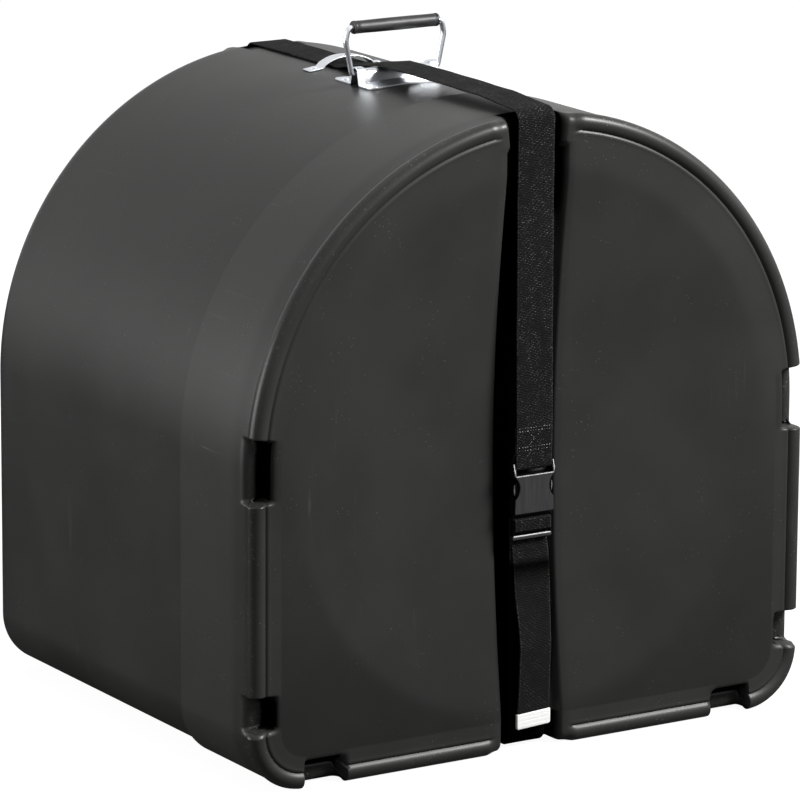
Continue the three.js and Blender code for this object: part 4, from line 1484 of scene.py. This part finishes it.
@dataclass
class Strap:
    """One run of webbing: a woven ribbon with rounded edges that never lies quite flat."""

    name: str
    run: Run
    width: float = 0.0440
    thickness: float = 0.0020
    wander: float = 0.00028
    cup: float = 0.00022
    hang: Callable[[float, float], tuple[float, float]] | None = None
    columns: int = 13
    origin: float = 0.0

    def section(self) -> list[tuple[float, float]]:
        """The ribbon's section: across, and up from its middle."""
        half, rise = self.width / 2, self.thickness / 2
        flat = half - rise
        top = [(flat - 2.0 * flat * k / (self.columns - 1), rise) for k in range(self.columns)]
        turns = np.radians([135.0, 180.0, 225.0])
        left = [(-flat + rise * math.cos(a), rise * math.sin(a)) for a in turns]
        bottom = [(-a, -b) for a, b in top]
        right = [(-a, -b) for a, b in left]
        return [*top, *left, *bottom, *right]

    def build(self) -> Piece:
        """Makes the ribbon.

        Returns:
            The piece, with a UV map "cloth" in metres across and along.
        """
        path, along = self.run.sample()
        line = np.array([(0.0, y, z) for y, z in path])
        way = tangents(line)
        section = self.section()
        points, marks = [], []
        for place, ahead, s in zip(line, way, along):
            normal = np.array([0.0, ahead[2], -ahead[1]])
            side = np.array([1.0, 0.0, 0.0])
            if self.hang is not None:
                a, drift = self.hang(float(place[2]), float(s))
                cosine, sine = math.cos(a), math.sin(a)
                side, normal = side * cosine + normal * sine, normal * cosine - side * sine
                place = place + np.array([drift, 0.0, 0.0])
            lift = self.wander * (math.sin(s * 41.0) + 0.6 * math.sin(s * 97.0 + 1.3))
            sway = self.wander * 1.2 * math.sin(s * 17.0 + 0.7)
            for across, up in section:
                curl = self.cup * (2.0 * across / self.width) ** 2 * math.sin(s * 23.0 + 0.4)
                points.append(place + side * (across + sway) + normal * (up + lift + curl))
                marks.append((across, s + self.origin))
        piece = make_object(self.name, np.array(points), tube_faces(len(line), len(section)),
                            sharp=70.0)
        layer = piece.data.uv_layers.new(name="cloth")
        for loop in piece.data.loops:
            layer.data[loop.index].uv = marks[loop.vertex_index]
        return outward(piece)


@dataclass
class Harness:
    """The strap all round the case, its sewn loop, its free tail and the white end."""

    buckle: float = -0.2685
    layer: float = 0.0039
    skirt: float = -0.1315
    back: float = 0.2694
    base: float = 0.0046
    top: float = 0.6624
    saddle: float = 0.6766
    bow: float = 0.6778
    corner: float = 0.0114
    long: float = 0.060
    tight: float = 0.0014
    split: float = 0.055
    tail: float = -0.2751
    tail_start: float = 0.212
    tail_turns: tuple[tuple[float, float, float], ...] = ((10.5, 0.185, 0.115), (-2.5, 0.07, 0.03))
    tail_drifts: tuple[tuple[float, float, float], ...] = ((0.0026, 0.227, 0.205),
                                                           (-0.0018, 0.12, 0.04))
    finish: Webbing = field(default_factory=Webbing)
    tip: TipPlastic = field(default_factory=TipPlastic)
    thread: ThreadFinish = field(default_factory=ThreadFinish)

    def around(self) -> Run:
        """The run from the socket's bar over the top, down the back and under to the front."""
        front, rear = self.buckle - self.layer, self.buckle + self.layer
        foot = self.foot_at(self.split)
        corners = [
            (front + 0.0024, 0.3435, 0.0), (front + 0.0024, 0.3170, 0.003), (rear, 0.3074, 0.004),
            (rear, 0.2986, 0.0032), (front, 0.2986, 0.0032),
            (front, 0.3160, self.long), (-0.2695, 0.6696, self.corner), (-0.1946, 0.6758, self.long),
            (-0.0366, self.bow, self.long), (-0.00285, self.saddle, self.long),
            (0.00365, self.saddle, self.corner),
            (0.0834, self.top, self.long), (self.back, self.top, self.corner),
            (self.back, self.base, self.corner), (-0.2643, self.base, self.corner),
            (foot, self.split, 0.0),
        ]
        return Run([c[:2] for c in corners], [c[2] for c in corners])

    def foot_at(self, height: float) -> float:
        """Where the lower run lies at a height."""
        return -0.2643 + (height - self.base) / (0.2212 - self.base) * 0.0022

    def hanging(self) -> Run:
        """The run from the foot of the face through the plug's bars, and its tail."""
        front, inner = self.buckle - self.layer, self.buckle + self.layer
        corners = [
            (self.foot_at(self.split), self.split, 0.0), (inner + 0.0025, 0.2212, self.long),
            (inner + 0.0025, 0.2462, self.tight), (front, 0.2462, self.tight),
            (front, 0.2341, self.tight),
            (inner, 0.2341, self.tight), (inner, 0.2062, self.long), (self.tail, 0.1110, self.long),
            (self.tail, 0.0400, 0.0),
        ]
        return Run([c[:2] for c in corners], [c[2] for c in corners], pace=0.0045)

    def tail_hang(self, height: float, run: float) -> tuple[float, float]:
        """How the free tail hangs below the buckle.

        Args:
            height: height above the floor.
            run: distance along the webbing from the split at the foot.

        Returns:
            Its turn about its length, and its drift sideways.
        """
        if run < self.tail_start:
            return 0.0, 0.0
        turn, drift = (sum(size * float(smoothstep(-height, -high, -low)) for size, high, low in steps)
                       for steps in (self.tail_turns, self.tail_drifts))
        return -math.radians(turn), drift

    def end_cap(self) -> Piece:
        """The white plastic end, a little wider and thicker than the webbing, with a crimped edge."""
        low, high = 0.0250, 0.0412
        half, y = 0.0226, self.tail
        outline: Profile = [(-half, high),
                            *arc_points(-half + 0.0022, low + 0.0022, 0.0022, 180.0, 270.0, 5),
                            *arc_points(half - 0.0022, low + 0.0022, 0.0022, 270.0, 360.0, 5),
                            (half, high)]
        blank = slab("tip_blank", outline, y - 0.00165, y + 0.00165)
        blank = bevel(outward(blank), 0.0007, 3)
        crimps = [box_mesh("crimp", (-0.0200, y - 0.0020, low + 0.0036 + 0.0042 * k),
                           (0.0200, y - 0.00140, low + 0.0046 + 0.0042 * k)) for k in range(3)]
        cap = cut_with("strap_end_cap", blank, crimps)
        angle, drift = self.tail_hang(low, 1.0)
        turn_about(cap, -angle, Vector((0.0, 0.0, 1.0)), (0.0, y, 0.0), (drift, 0.0, 0.0))
        return soften(cap, 40.0)

    def stitches(self, finish: Finish) -> Piece:
        """The sewing over the loop: two double rows and a cross, spread by Geometry Nodes.

        Args:
            finish: the thread's material.

        Returns:
            All the stitches as one piece.
        """
        half, low, high = 0.0182, 0.3190, 0.3425
        y = self.buckle - self.layer - 0.0010
        inner, outer = low + 0.0035, high - 0.0032
        lines = [*[((-half, z), (half, z)) for z in (low, inner, outer, high)],
                 ((-half * 0.5, inner), (half * 0.5, outer)),
                 ((half * 0.5, inner), (-half * 0.5, outer))]
        points, edges = [], []
        for (x0, z0), (x1, z1) in lines:
            edges.append((len(points), len(points) + 1))
            points += [(x0, y, z0), (x1, y, z1)]
        return StitchRows("stitch_rows").run(
            guide_mesh("strap_stitches", points, edges),
            {"Pace": 0.0033, "Length": 0.0018, "Radius": 0.00034, "Finish": finish})

    def build(self, maker: Dresser) -> None:
        """Makes and dresses the strap.

        Args:
            maker: what dresses and reports the pieces.
        """
        material = self.finish.build()
        around = Strap("strap_round", self.around(), origin=0.003)
        maker.stretch(around.build(), Body.SHELL, Body.LID, (0.0, -0.040, 0.3), (0.0, self.skirt, 0.3),
                      material, "webbing", "strap_rear", "strap_upper")
        hanging = Strap("strap_hanging", self.hanging(), hang=self.tail_hang, origin=0.4)
        maker.stretch(hanging.build(), Body.LID, Body.PLUG, (0.0, -0.27, 0.060), (0.0, -0.27, 0.210),
                      material, "webbing", "strap_lower", "strap_tail")
        maker.place(self.end_cap(), Body.LID, self.tip.build(), "tip_plastic", "strap_tip")
        thread = self.thread.build()
        maker.place(self.stitches(thread), Body.LID, thread, "webbing")


# The side-release buckle

def rounded_box(x0: float, x1: float, z0: float, z1: float, radius: float) -> Profile:
    """Outline of a box with round corners, anticlockwise seen from the front."""
    right, left, top, foot = x1 - radius, x0 + radius, z1 - radius, z0 + radius
    corners = ((right, top), (left, top), (left, foot), (right, foot))
    return [p for k, (x, z) in enumerate(corners)
            for p in arc_points(x, z, radius, 90.0 * k, 90.0 * (k + 1), 4)]


def mirrored(right: Profile) -> Profile:
    """A closed outline from its right-hand half."""
    return [*right, *[(-x, z) for x, z in reversed(right)]]


@dataclass
class Buckle:
    """The side-release buckle: a waisted socket, a ladder plug and two springy latch arms."""

    middle: float = -0.2685
    half_depth: float = 0.0065
    half: float = 0.0243
    foot_half: float = 0.0238
    waist_half: float = 0.0233
    top: float = 0.3060
    mouth: float = 0.2528
    slot: tuple[float, float] = (0.2930, 0.3000)
    slot_half: float = 0.0223
    bar_half_depth: float = 0.0025
    bite_at: tuple[float, float] = (0.0340, 0.2797)
    bite_radius: float = 0.0161
    wall: float = 0.0026
    tunnel_half: float = 0.0189
    tunnel_top: float = 0.2904
    window: tuple[float, float] = (0.2700, 0.2870)
    plug_half: float = 0.0238
    plug_base: float = 0.2523
    plug_foot: float = 0.2252
    plug_slots: tuple[tuple[float, float], ...] = ((0.2292, 0.2355), (0.2448, 0.2490))
    guide_half: float = 0.0030
    guide_top: float = 0.2783
    arm_half_depth: float = 0.0035
    finish: BucklePlastic = field(default_factory=BucklePlastic)

    def socket_outline(self) -> Profile:
        """The socket from the front: flared foot, round bites for the fingers, two rails at the top."""
        cx, cz = self.bite_at
        turn = math.degrees(math.acos((cx - self.waist_half) / self.bite_radius))
        foot, corner = self.mouth, 0.0014
        right = [
            *arc_points(self.foot_half - corner, foot + corner, corner, 270.0, 360.0, 4),
            (self.foot_half - 0.0002, foot + 0.0060), (self.waist_half, foot + 0.0110),
            *arc_points(cx, cz, self.bite_radius, 180.0 + turn, 180.0 - turn, 16),
            (self.half - 0.0002, self.slot[0] + 0.0012), (self.half, self.slot[0] + 0.0030),
            *arc_points(self.half - 0.0009, self.top - 0.0009, 0.0009, 0.0, 90.0, 3),
        ]
        return mirrored(right)

    def slot_cutter(self, low: float, high: float, radius: float, reach: float) -> Piece:
        """A cutter for a slot that the webbing runs through.

        Args:
            low: the slot's lower edge.
            high: its upper edge.
            radius: its corners' radius.
            reach: how far the cutter reaches to the front and the back.

        Returns:
            The cutter.
        """
        outline = rounded_box(-self.slot_half, self.slot_half, low, high, radius)
        return outward(slab("slot", outline, self.middle - reach, self.middle + reach))

    def socket(self) -> Piece:
        """The socket: a hollow body with a bar for the sewn loop, slanting rails and open sides."""
        front, back = self.middle - self.half_depth, self.middle + self.half_depth
        low, high = self.slot
        blank = outward(slab("buckle_socket_body", self.socket_outline(), front, back))
        body = bevel(blank, 0.0009, 3, 50.0)
        inner = self.half_depth - self.wall
        cutters = [
            self.slot_cutter(low, high, 0.0012, self.half_depth + 0.002),
            box_mesh("tunnel", (-self.tunnel_half, self.middle - inner, self.mouth - 0.002),
                     (self.tunnel_half, self.middle + inner, self.tunnel_top)),
        ]
        for side in (-1.0, 1.0):
            x0, x1 = sorted((side * 0.015, side * 0.03))
            cutters.append(box_mesh("window", (x0, self.middle - inner, self.window[0]),
                                    (x1, self.middle + inner, self.window[1])))
            edge = self.middle + side * self.bar_half_depth
            far = self.middle + side * (self.half_depth + 0.002)
            cutters.append(box_mesh("relief", (-self.slot_half, min(edge, far), high - 0.0006),
                                    (self.slot_half, max(edge, far), self.top + 0.003)))
            face = self.middle + side * self.half_depth
            slope = [(far, low + 0.0018), (face, low + 0.0030),
                     (self.middle + side * 0.0034, self.top + 0.001),
                     (far, self.top + 0.001)]
            cutters.append(slab_across("rail_slope", slope, -0.03, 0.03))
        return steady(bevel(cut_with("buckle_socket_shell", body, cutters), 0.0004, 2, 40.0))

    def plug(self) -> Piece:
        """The plug: its base, two slots, a round lower bar and the guide that enters the socket."""
        half, foot, base, corner = self.plug_half, self.plug_foot, self.plug_base, 0.0014
        right = [
            *arc_points(half - corner, foot + corner, corner, 270.0, 360.0, 4), (half, base - 0.0008),
            (half - 0.0008, base), (self.guide_half + 0.0012, base), (self.guide_half, base + 0.0014),
            (self.guide_half, self.guide_top - 0.0022), (self.guide_half - 0.0014, self.guide_top),
        ]
        outline = mirrored(right)
        depth = 0.0025
        body = outward(slab("buckle_plug_body", outline, self.middle - depth, self.middle + depth))
        slots = [self.slot_cutter(low, high, 0.0010, 0.006) for low, high in self.plug_slots]
        return steady(bevel(cut_with("buckle_plug_shell", body, slots), 0.0008, 3, 40.0))

    def arm(self, side: float) -> Piece:
        """A latch arm with its finger pad, which carries five shallow grip grooves.

        Args:
            side: -1 for the left arm and 1 for the right.

        Returns:
            The arm.
        """
        root = self.plug_base + 0.0003
        low, high = self.window[0] + 0.0006, self.window[1] - 0.0006
        outline = [
            (0.0115, root), (0.0146, root), (0.0166, root + 0.009), (0.0181, low - 0.0012),
            (0.0200, low), (0.0220, low + 0.0010), (0.0229, low + 0.0032), (0.0232, (low + high) / 2),
            (0.0229, high - 0.0032), (0.0220, high - 0.0010), (0.0200, high), (0.0140, high),
            (0.0132, high - 0.0030), (0.0148, low + 0.002), (0.0146, low - 0.0050),
            (0.0130, root + 0.006),
        ]
        name = "latch_arm_left_pad" if side < 0 else "latch_arm_right_pad"
        front, back = self.middle - self.arm_half_depth, self.middle + self.arm_half_depth
        blank = outward(slab(name, [(side * x, z) for x, z in outline], front, back))
        body = bevel(blank, 0.0006, 3, 40.0)
        grooves = []
        for k in range(5):
            z = low + 0.0034 + 0.0022 * k
            x0, x1 = sorted((side * 0.0226, side * 0.0245))
            grooves.append(box_mesh("groove", (x0, front + 0.0009, z), (x1, back - 0.0009, z + 0.0007)))
        cut_with(name, body, grooves)
        body.data.set_sharp_from_angle(angle=math.radians(40.0))
        return body

    def build(self, maker: Dresser) -> None:
        """Makes and dresses the buckle.

        Args:
            maker: what dresses and reports the pieces.
        """
        material = self.finish.build()
        maker.place(self.socket(), Body.LID, material, "buckle_plastic", "buckle_socket")
        maker.place(self.plug(), Body.PLUG, material, "buckle_plastic", "buckle_plug")
        maker.place(self.arm(-1.0), Body.LATCH_LEFT, material, "buckle_plastic", "latch_arm_left")
        maker.place(self.arm(1.0), Body.LATCH_RIGHT, material, "buckle_plastic", "latch_arm_right")


# The bail handle, its pressed plate and the strap bridge

def lathe(name: str, profile: Sequence[tuple[float, float]], count: int) -> Piece:
    """A profile of (radius, height) points turned round the Z axis, closed where it meets the axis.

    Args:
        name: the piece's name.
        profile: the points, from one end of the axis to the other.
        count: facets round the axis.

    Returns:
        The piece.
    """
    points: list[tuple[float, float, float]] = []
    rings: list[list[int]] = []
    for radius, height in profile:
        if radius < 1e-7:
            rings.append([len(points)])
            points.append((0.0, 0.0, height))
            continue
        rings.append(list(range(len(points), len(points) + count)))
        points += [(radius * math.cos(a), radius * math.sin(a), height) for a in circle_angles(count)]
    faces: Faces = []
    for low, high in zip(rings, rings[1:]):
        for i in range(count):
            j = (i + 1) % count
            if len(low) == 1:
                faces.append((low[0], high[j], high[i]))
            elif len(high) == 1:
                faces.append((low[i], low[j], high[0]))
            else:
                faces.append((low[i], low[j], high[j], high[i]))
    return outward(make_object(name, np.array(points), faces, sharp=38.0))


@dataclass
class Handle:
    """The bail handle: a bent wire in a pressed plate's tunnel, its grip, and the strap's bridge."""

    axis: float = 0.0004
    base: float = 0.6613
    shell_radius: float = 0.3305
    half: float = 0.0495
    front: float = 0.0370
    rear: float = 0.0430
    thickness: float = 0.0016
    foot: float = 0.0080
    crest: float = 0.0041
    saddle: float = 0.0120
    raised: float = 0.0025
    front_shares: Profile = field(default_factory=lambda: [
        (0.0, 1.0), (0.58, 1.0), (0.78, 0.98), (0.86, 0.955), (0.92, 0.91), (0.96, 0.86), (0.985, 0.80),
        (1.0, 0.73),
    ])
    rear_shares: Profile = field(default_factory=lambda: [
        (0.0, 0.26), (0.50, 0.26), (0.53, 0.32), (0.56, 0.52), (0.60, 0.74), (0.70, 0.86), (0.80, 0.93),
        (0.90, 0.98), (0.96, 0.97), (0.985, 0.92), (1.0, 0.84),
    ])
    wire: float = 0.0029
    wire_corners: tuple[tuple[float, float, float], ...] = (
        (0.0528, 0.0090, 0.0040), (0.0605, 0.0440, 0.0160), (0.0570, 0.0580, 0.0060))
    grip_half: float = 0.0520
    grip_radius: float = 0.0070
    grip_height: float = 0.058
    grip_facets: int = 40
    grip_sharp: float = 32.0
    bridge_at: float = 0.0994
    bridge_half: float = 0.0480
    bridge_foot: float = 0.0160
    bridge_rise: float = 0.0090
    rivet_places: tuple[tuple[float, float], ...] = (
        (-0.0425, -0.0296), (0.0425, -0.0296), (-0.0425, 0.0294), (0.0425, 0.0294), (-0.0390, 0.0994),
        (0.0390, 0.0994))
    steel: ZincSteel = field(default_factory=ZincSteel)
    grip_finish: GripPlastic = field(default_factory=GripPlastic)

    def fall(self, x: float) -> float:
        """How far the shell's round top has fallen at a distance from its middle."""
        return self.shell_radius - math.sqrt(self.shell_radius ** 2 - x ** 2)

    def plate_section(self, share: float) -> list[tuple[float, float]]:
        """The plate's underside across the wire, at a share of its half length.

        Args:
            share: zero in the middle and one at either end.

        Returns:
            Points from the front edge to the rear edge, as distance behind the axis and height.
        """
        fall = self.fall(self.half * share)
        rise = self.saddle + self.raised * float(smoothstep(share, 0.765, 0.835)) + fall
        pinch = 0.0006 * math.exp(-((share - 0.80) / 0.03) ** 2)
        hump_line, _ = Run(
            [(-0.0112, 0.0), (-self.foot + pinch, 0.0), (-self.crest, rise), (self.crest, rise),
             (self.foot - pinch, 0.0), (0.0108, 0.0)],
            [0.0, 0.0024, 0.0038, 0.0038, 0.0024, 0.0], pace=0.001, turn=9.0).sample()
        hump = resample([tuple(p) for p in hump_line], 49)
        reach = self.front * float(np.interp(share, *zip(*self.front_shares)))
        tongue = max(self.rear * float(np.interp(share, *zip(*self.rear_shares))), 0.0113)
        ahead = [(-reach + (reach - 0.0112) * k / 9, 0.0) for k in range(9)]
        behind = [(0.0108 + (tongue - 0.0108) * (k + 1) / 12, 0.0) for k in range(12)]
        return [*ahead, *[tuple(p) for p in hump], *behind]

    def plate(self) -> Piece:
        """The pressed plate, lofted along the wire, with softly broken edges."""
        stations = np.unique(np.concatenate([
            np.linspace(-1.0, 1.0, 61), *[s * np.linspace(0.74, 0.86, 13) for s in (-1.0, 1.0)],
            *[s * np.linspace(0.90, 1.0, 13) for s in (-1.0, 1.0)],
            *[s * np.linspace(0.49, 0.61, 13) for s in (-1.0, 1.0)]]).round(5))
        points: list[tuple[float, float, float]] = []
        count = 0
        for share in stations:
            x = self.half * float(share)
            section = self.plate_section(abs(float(share)))
            count = len(section)
            points += [(x, self.axis + y, self.base + z - self.fall(x)) for y, z in section]
        faces = []
        for k in range(len(stations) - 1):
            for i in range(count - 1):
                a = k * count + i
                faces.append((a, a + count, a + count + 1, a + 1))
        piece = make_object("handle_plate_pressing", np.array(points), faces)
        if sum(p.normal.z * p.area for p in piece.data.polygons) < 0.0:
            piece.data.flip_normals()
        return bevel(thicken(piece, self.thickness, 1.0), 0.0004, 2, 60.0)

    def bridge(self) -> Piece:
        """The pressed bridge that the strap runs under, behind the handle."""
        heel = self.bridge_half - self.bridge_foot
        line, _ = Run(
            [(-self.bridge_half, 0.0), (-heel, 0.0), (-heel + 0.0040, 0.0036),
             (-heel * 0.45, self.bridge_rise), (heel * 0.45, self.bridge_rise),
             (heel - 0.0040, 0.0036), (heel, 0.0), (self.bridge_half, 0.0)],
            [0.0, 0.003, 0.010, 0.05, 0.05, 0.010, 0.003, 0.0], pace=0.0022, turn=6.0).sample()
        half, rise = 0.0080, self.thickness / 2
        section = np.array(rounded_box(-half, half, -rise, rise, 0.0006))
        places = np.array([(x, self.bridge_at, self.base + h + rise - self.fall(x)) for x, h in line])
        piece = tube("strap_bridge_pressing", places, section, (0.0, 0.0, 1.0))
        return bevel(piece, 0.0007, 2, 60.0)

    def rivet(self) -> Piece:
        """One rivet at the origin: a low dome, the shank, and the flat tail inside the shell."""
        seat, inside = 0.0021, -0.0043
        dome = [(0.0041 * math.cos(a), seat + 0.0003 + 0.0014 * math.sin(a))
                for a in np.radians([0, 18, 36, 54, 72])]
        profile = [(0.0, inside - 0.0025), (0.0026, inside - 0.0025), (0.0030, inside - 0.0020),
                   (0.0030, inside), (0.0020, inside), (0.0020, seat), (0.0041, seat), *dome,
                   (0.0, seat + 0.0017)]
        return lathe("rivet_form", profile, 24)

    def rivets(self, finish: Finish) -> Piece:
        """The six rivets, set square on the shell's round top by Geometry Nodes.

        Args:
            finish: the rivets' material.

        Returns:
            All six as one piece.
        """
        form = self.rivet()
        leans, points = [], []
        for x, y in self.rivet_places:
            lean = (x / self.shell_radius, 0.0, math.sqrt(1.0 - (x / self.shell_radius) ** 2))
            crown = self.base - 0.0003 - self.shell_radius
            points.append((x, y, crown + self.shell_radius * lean[2]))
            leans += lean
        made = guide_mesh("handle_rivets", points)
        made.data.attributes.new("lean", "FLOAT_VECTOR", "POINT").data.foreach_set("vector", leans)
        RivetSet("rivet_set").run(made, {"Form": form, "Finish": finish})
        bpy.data.objects.remove(form, do_unlink=True)
        return soften(made, 38.0)

    def bail(self, finish: Finish) -> Piece:
        """The bail: round wire bent into a closed loop, swept along its centre line by Geometry Nodes.

        Args:
            finish: the wire's material.

        Returns:
            The wire.
        """
        right = [(x, z) for x, z, _ in self.wire_corners]
        bends = [b for _, _, b in self.wire_corners]
        top, low = right[-1][1], right[0][1]
        corners = [(0.0, low), *right, (0.0, top), *[(-x, z) for x, z in reversed(right)], (0.0, low)]
        line, _ = Run(corners, [0.0, *bends, 0.0, *reversed(bends), 0.0], pace=0.004, turn=7.0).sample()
        points = [(x, self.axis, self.base + z) for x, z in line[:-1]]
        edges = [(i, (i + 1) % len(points)) for i in range(len(points))]
        made = guide_mesh("bail_bent_wire", points, edges)
        sizes = {"Radius": self.wire, "Facets": 28, "Finish": finish}
        return outward(WireSweep("wire_sweep").run(made, sizes))

    def grip(self) -> Piece:
        """The grip: a split plastic tube with a soft crown, a groove near each end and rounded lips."""
        half, radius, bore = self.grip_half, self.grip_radius, self.wire + 0.0003
        end: Profile = [
            (bore, half), (radius - 0.0010, half), (radius - 0.0003, half - 0.0003),
            (radius, half - 0.0010), (radius, half - 0.0026), (radius - 0.0005, half - 0.0029),
            (radius - 0.0005, half - 0.0037), (radius - 0.0002, half - 0.0042),
            (radius - 0.0003, half * 0.75), (radius - 0.0001, half * 0.4),
        ]
        outside = [*end, (radius - 0.00005, 0.0), *[(r, -h) for r, h in reversed(end)]]
        outside = [outside[0], *[p for a, b in zip(outside, outside[1:]) for p in self.between(a, b)]]
        seam_y, seam_z = self.axis, self.base + self.grip_height
        points = [(h, seam_y + r * math.cos(a), seam_z + r * math.sin(a))
                  for r, h in outside for a in circle_angles(self.grip_facets)]
        faces = tube_faces(len(outside), self.grip_facets, capped=False)
        piece = outward(make_object("bail_grip_tube", np.array(points), faces, sharp=self.grip_sharp))
        slit = [(seam_y + y, seam_z + z) for y, z in (
            (-0.00035, -0.0085), (0.00035, -0.0085), (0.00035, -0.0052), (-0.00035, -0.0052))]
        seam = slab_across("seam", slit, -half - 0.002, half + 0.002)
        turn_about(seam, math.radians(52.0), "X", (0.0, seam_y, seam_z))
        return soften(cut_with("bail_grip_tube", piece, [seam]), self.grip_sharp)

    def between(self, start: tuple[float, float], end: tuple[float, float]) -> Profile:
        """Points after start up to end, at most 8 mm apart."""
        count = max(1, math.ceil(math.hypot(end[0] - start[0], end[1] - start[1]) / 0.008))
        return [(start[0] + (end[0] - start[0]) * (k + 1) / count,
                 start[1] + (end[1] - start[1]) * (k + 1) / count)
                for k in range(count)]

    def build(self, maker: Dresser) -> None:
        """Makes and dresses the handle.

        Args:
            maker: what dresses and reports the pieces.
        """
        steel = self.steel.build()
        maker.place(self.plate(), Body.SHELL, steel, "zinc_steel", "handle_plate")
        maker.place(self.bridge(), Body.SHELL, steel, "zinc_steel", "strap_bridge")
        maker.place(self.rivets(steel), Body.SHELL, steel, "zinc_steel", "plate_rivet_front_left",
                    "plate_rivet_front_right", "plate_rivet_rear_left", "plate_rivet_rear_right",
                    "bridge_rivet_left", "bridge_rivet_right")
        maker.place(self.bail(steel), Body.BAIL, steel, "zinc_steel", "bail_wire")
        maker.place(self.grip(), Body.BAIL, self.grip_finish.build(), "grip_plastic", "bail_grip")


# Studio

@dataclass
class Lamp:
    """A soft area lamp."""

    name: str
    place: tuple[float, float, float]
    power: float
    size: float
    aim: tuple[float, float, float] = (0.0, 0.0, 0.33)

    def build(self) -> Piece:
        """Makes the lamp."""
        light = bpy.data.lights.new(self.name, "AREA")
        light.energy = self.power
        light.shape = "DISK"
        light.size = self.size
        made = put(self.name, light)
        made.location = self.place
        way = Vector(self.aim) - Vector(self.place)
        made.rotation_euler = way.to_track_quat("-Z", "Y").to_euler()
        return made


@dataclass
class Studio:
    """The white backdrop, the lamps and the camera."""

    azimuth: float = 32.02
    elevation: float = 13.31
    roll: float = 0.34
    distance: float = 5.9409
    lens: float = 251.7
    target: tuple[float, float, float] = (0.0087, 0.0, 0.3141)
    sky: float = 0.19
    mirrored_sky: float = 0.80
    floor_glow: float = 1.26
    floor_shade: float = 0.95
    dull_floor: float = 0.11
    shadow_share: float = 0.25
    lamps: list[Lamp] = field(default_factory=lambda: [
        Lamp("key_lamp", (1.9, -1.9, 2.3), 175.0, 1.0),
        Lamp("top_lamp", (-0.3, 0.4, 3.4), 6.0, 2.0),
        Lamp("left_lamp", (-3.6, 1.5, 0.4), 118.0, 3.0),
    ])

    def world(self) -> None:
        """A pale world that reads as white in the picture and its reflections."""
        world = bpy.data.worlds.new("studio")
        bpy.context.scene.world = world
        world.use_nodes = True
        nodes = Nodes(world.node_tree)
        path = nodes.add("ShaderNodeLightPath")
        level: float | Socket = self.sky
        for ray, value in (("Is Glossy Ray", self.mirrored_sky), ("Is Camera Ray", 1.0),
                           ("Is Transmission Ray", 1.0)):
            level = nodes.add("ShaderNodeMapRange",
                              {0: path.outputs[ray], 3: level, 4: value}).outputs[0]
        ground = nodes.add("ShaderNodeBackground", {0: (1.0, 1.0, 1.0), 1: level})
        nodes.add("ShaderNodeOutputWorld", {0: ground.outputs[0]})

    def floor(self) -> None:
        """A white floor that keeps the case's shadow."""
        reach = 12.0
        corners = [(-reach, -reach, 0.0), (reach, -reach, 0.0), (reach, reach, 0.0),
                   (-reach, reach, 0.0)]
        made = make_object("floor", corners, [(0, 1, 2, 3)], smooth=False)
        s = Shade("floor_white")
        diffuse = s.add("ShaderNodeBsdfDiffuse", {0: (self.floor_shade,) * 3})
        glow = s.add("ShaderNodeEmission", {0: (1.0, 1.0, 1.0), 1: self.floor_glow})
        shown = s.mix(self.shadow_share, glow, diffuse)
        dull = s.add("ShaderNodeBsdfDiffuse", {0: (self.dull_floor,) * 3})
        seen = s.add("ShaderNodeLightPath").outputs["Is Camera Ray"]
        made.data.materials.append(s.close(s.mix(seen, dull, shown)))

    def camera(self) -> None:
        """The photograph's camera."""
        camera = bpy.data.cameras.new("camera")
        camera.lens = self.lens
        camera.sensor_width = 36.0
        camera.clip_end = 60.0
        made = put("camera", camera)
        az, el = math.radians(self.azimuth), math.radians(self.elevation)
        back = Vector((-math.sin(az) * math.cos(el), -math.cos(az) * math.cos(el), math.sin(el)))
        right = Vector((0.0, 0.0, 1.0)).cross(back).normalized()
        up = back.cross(right)
        a = math.radians(self.roll)
        right, up = right * math.cos(a) + up * math.sin(a), up * math.cos(a) - right * math.sin(a)
        place = Vector(self.target) + back * self.distance
        made.matrix_world = Matrix((
            (right.x, up.x, back.x, place.x), (right.y, up.y, back.y, place.y),
            (right.z, up.z, back.z, place.z), (0.0, 0.0, 0.0, 1.0),
        ))
        bpy.context.scene.camera = made

    def build(self) -> None:
        """Sets the studio up."""
        bpy.context.scene.view_settings.view_transform = "Standard"
        self.world()
        self.floor()
        for lamp in self.lamps:
            lamp.build()
        self.camera()


def main() -> None:
    """Builds the case over its frame and sets up the picture."""
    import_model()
    maker = Dresser()
    Case().build(maker)
    Harness().build(maker)
    Buckle().build(maker)
    Handle().build(maker)
    Studio().build()
    LOG.info("%d pieces made", len(maker.made))


if __name__ == "__main__":
    main()
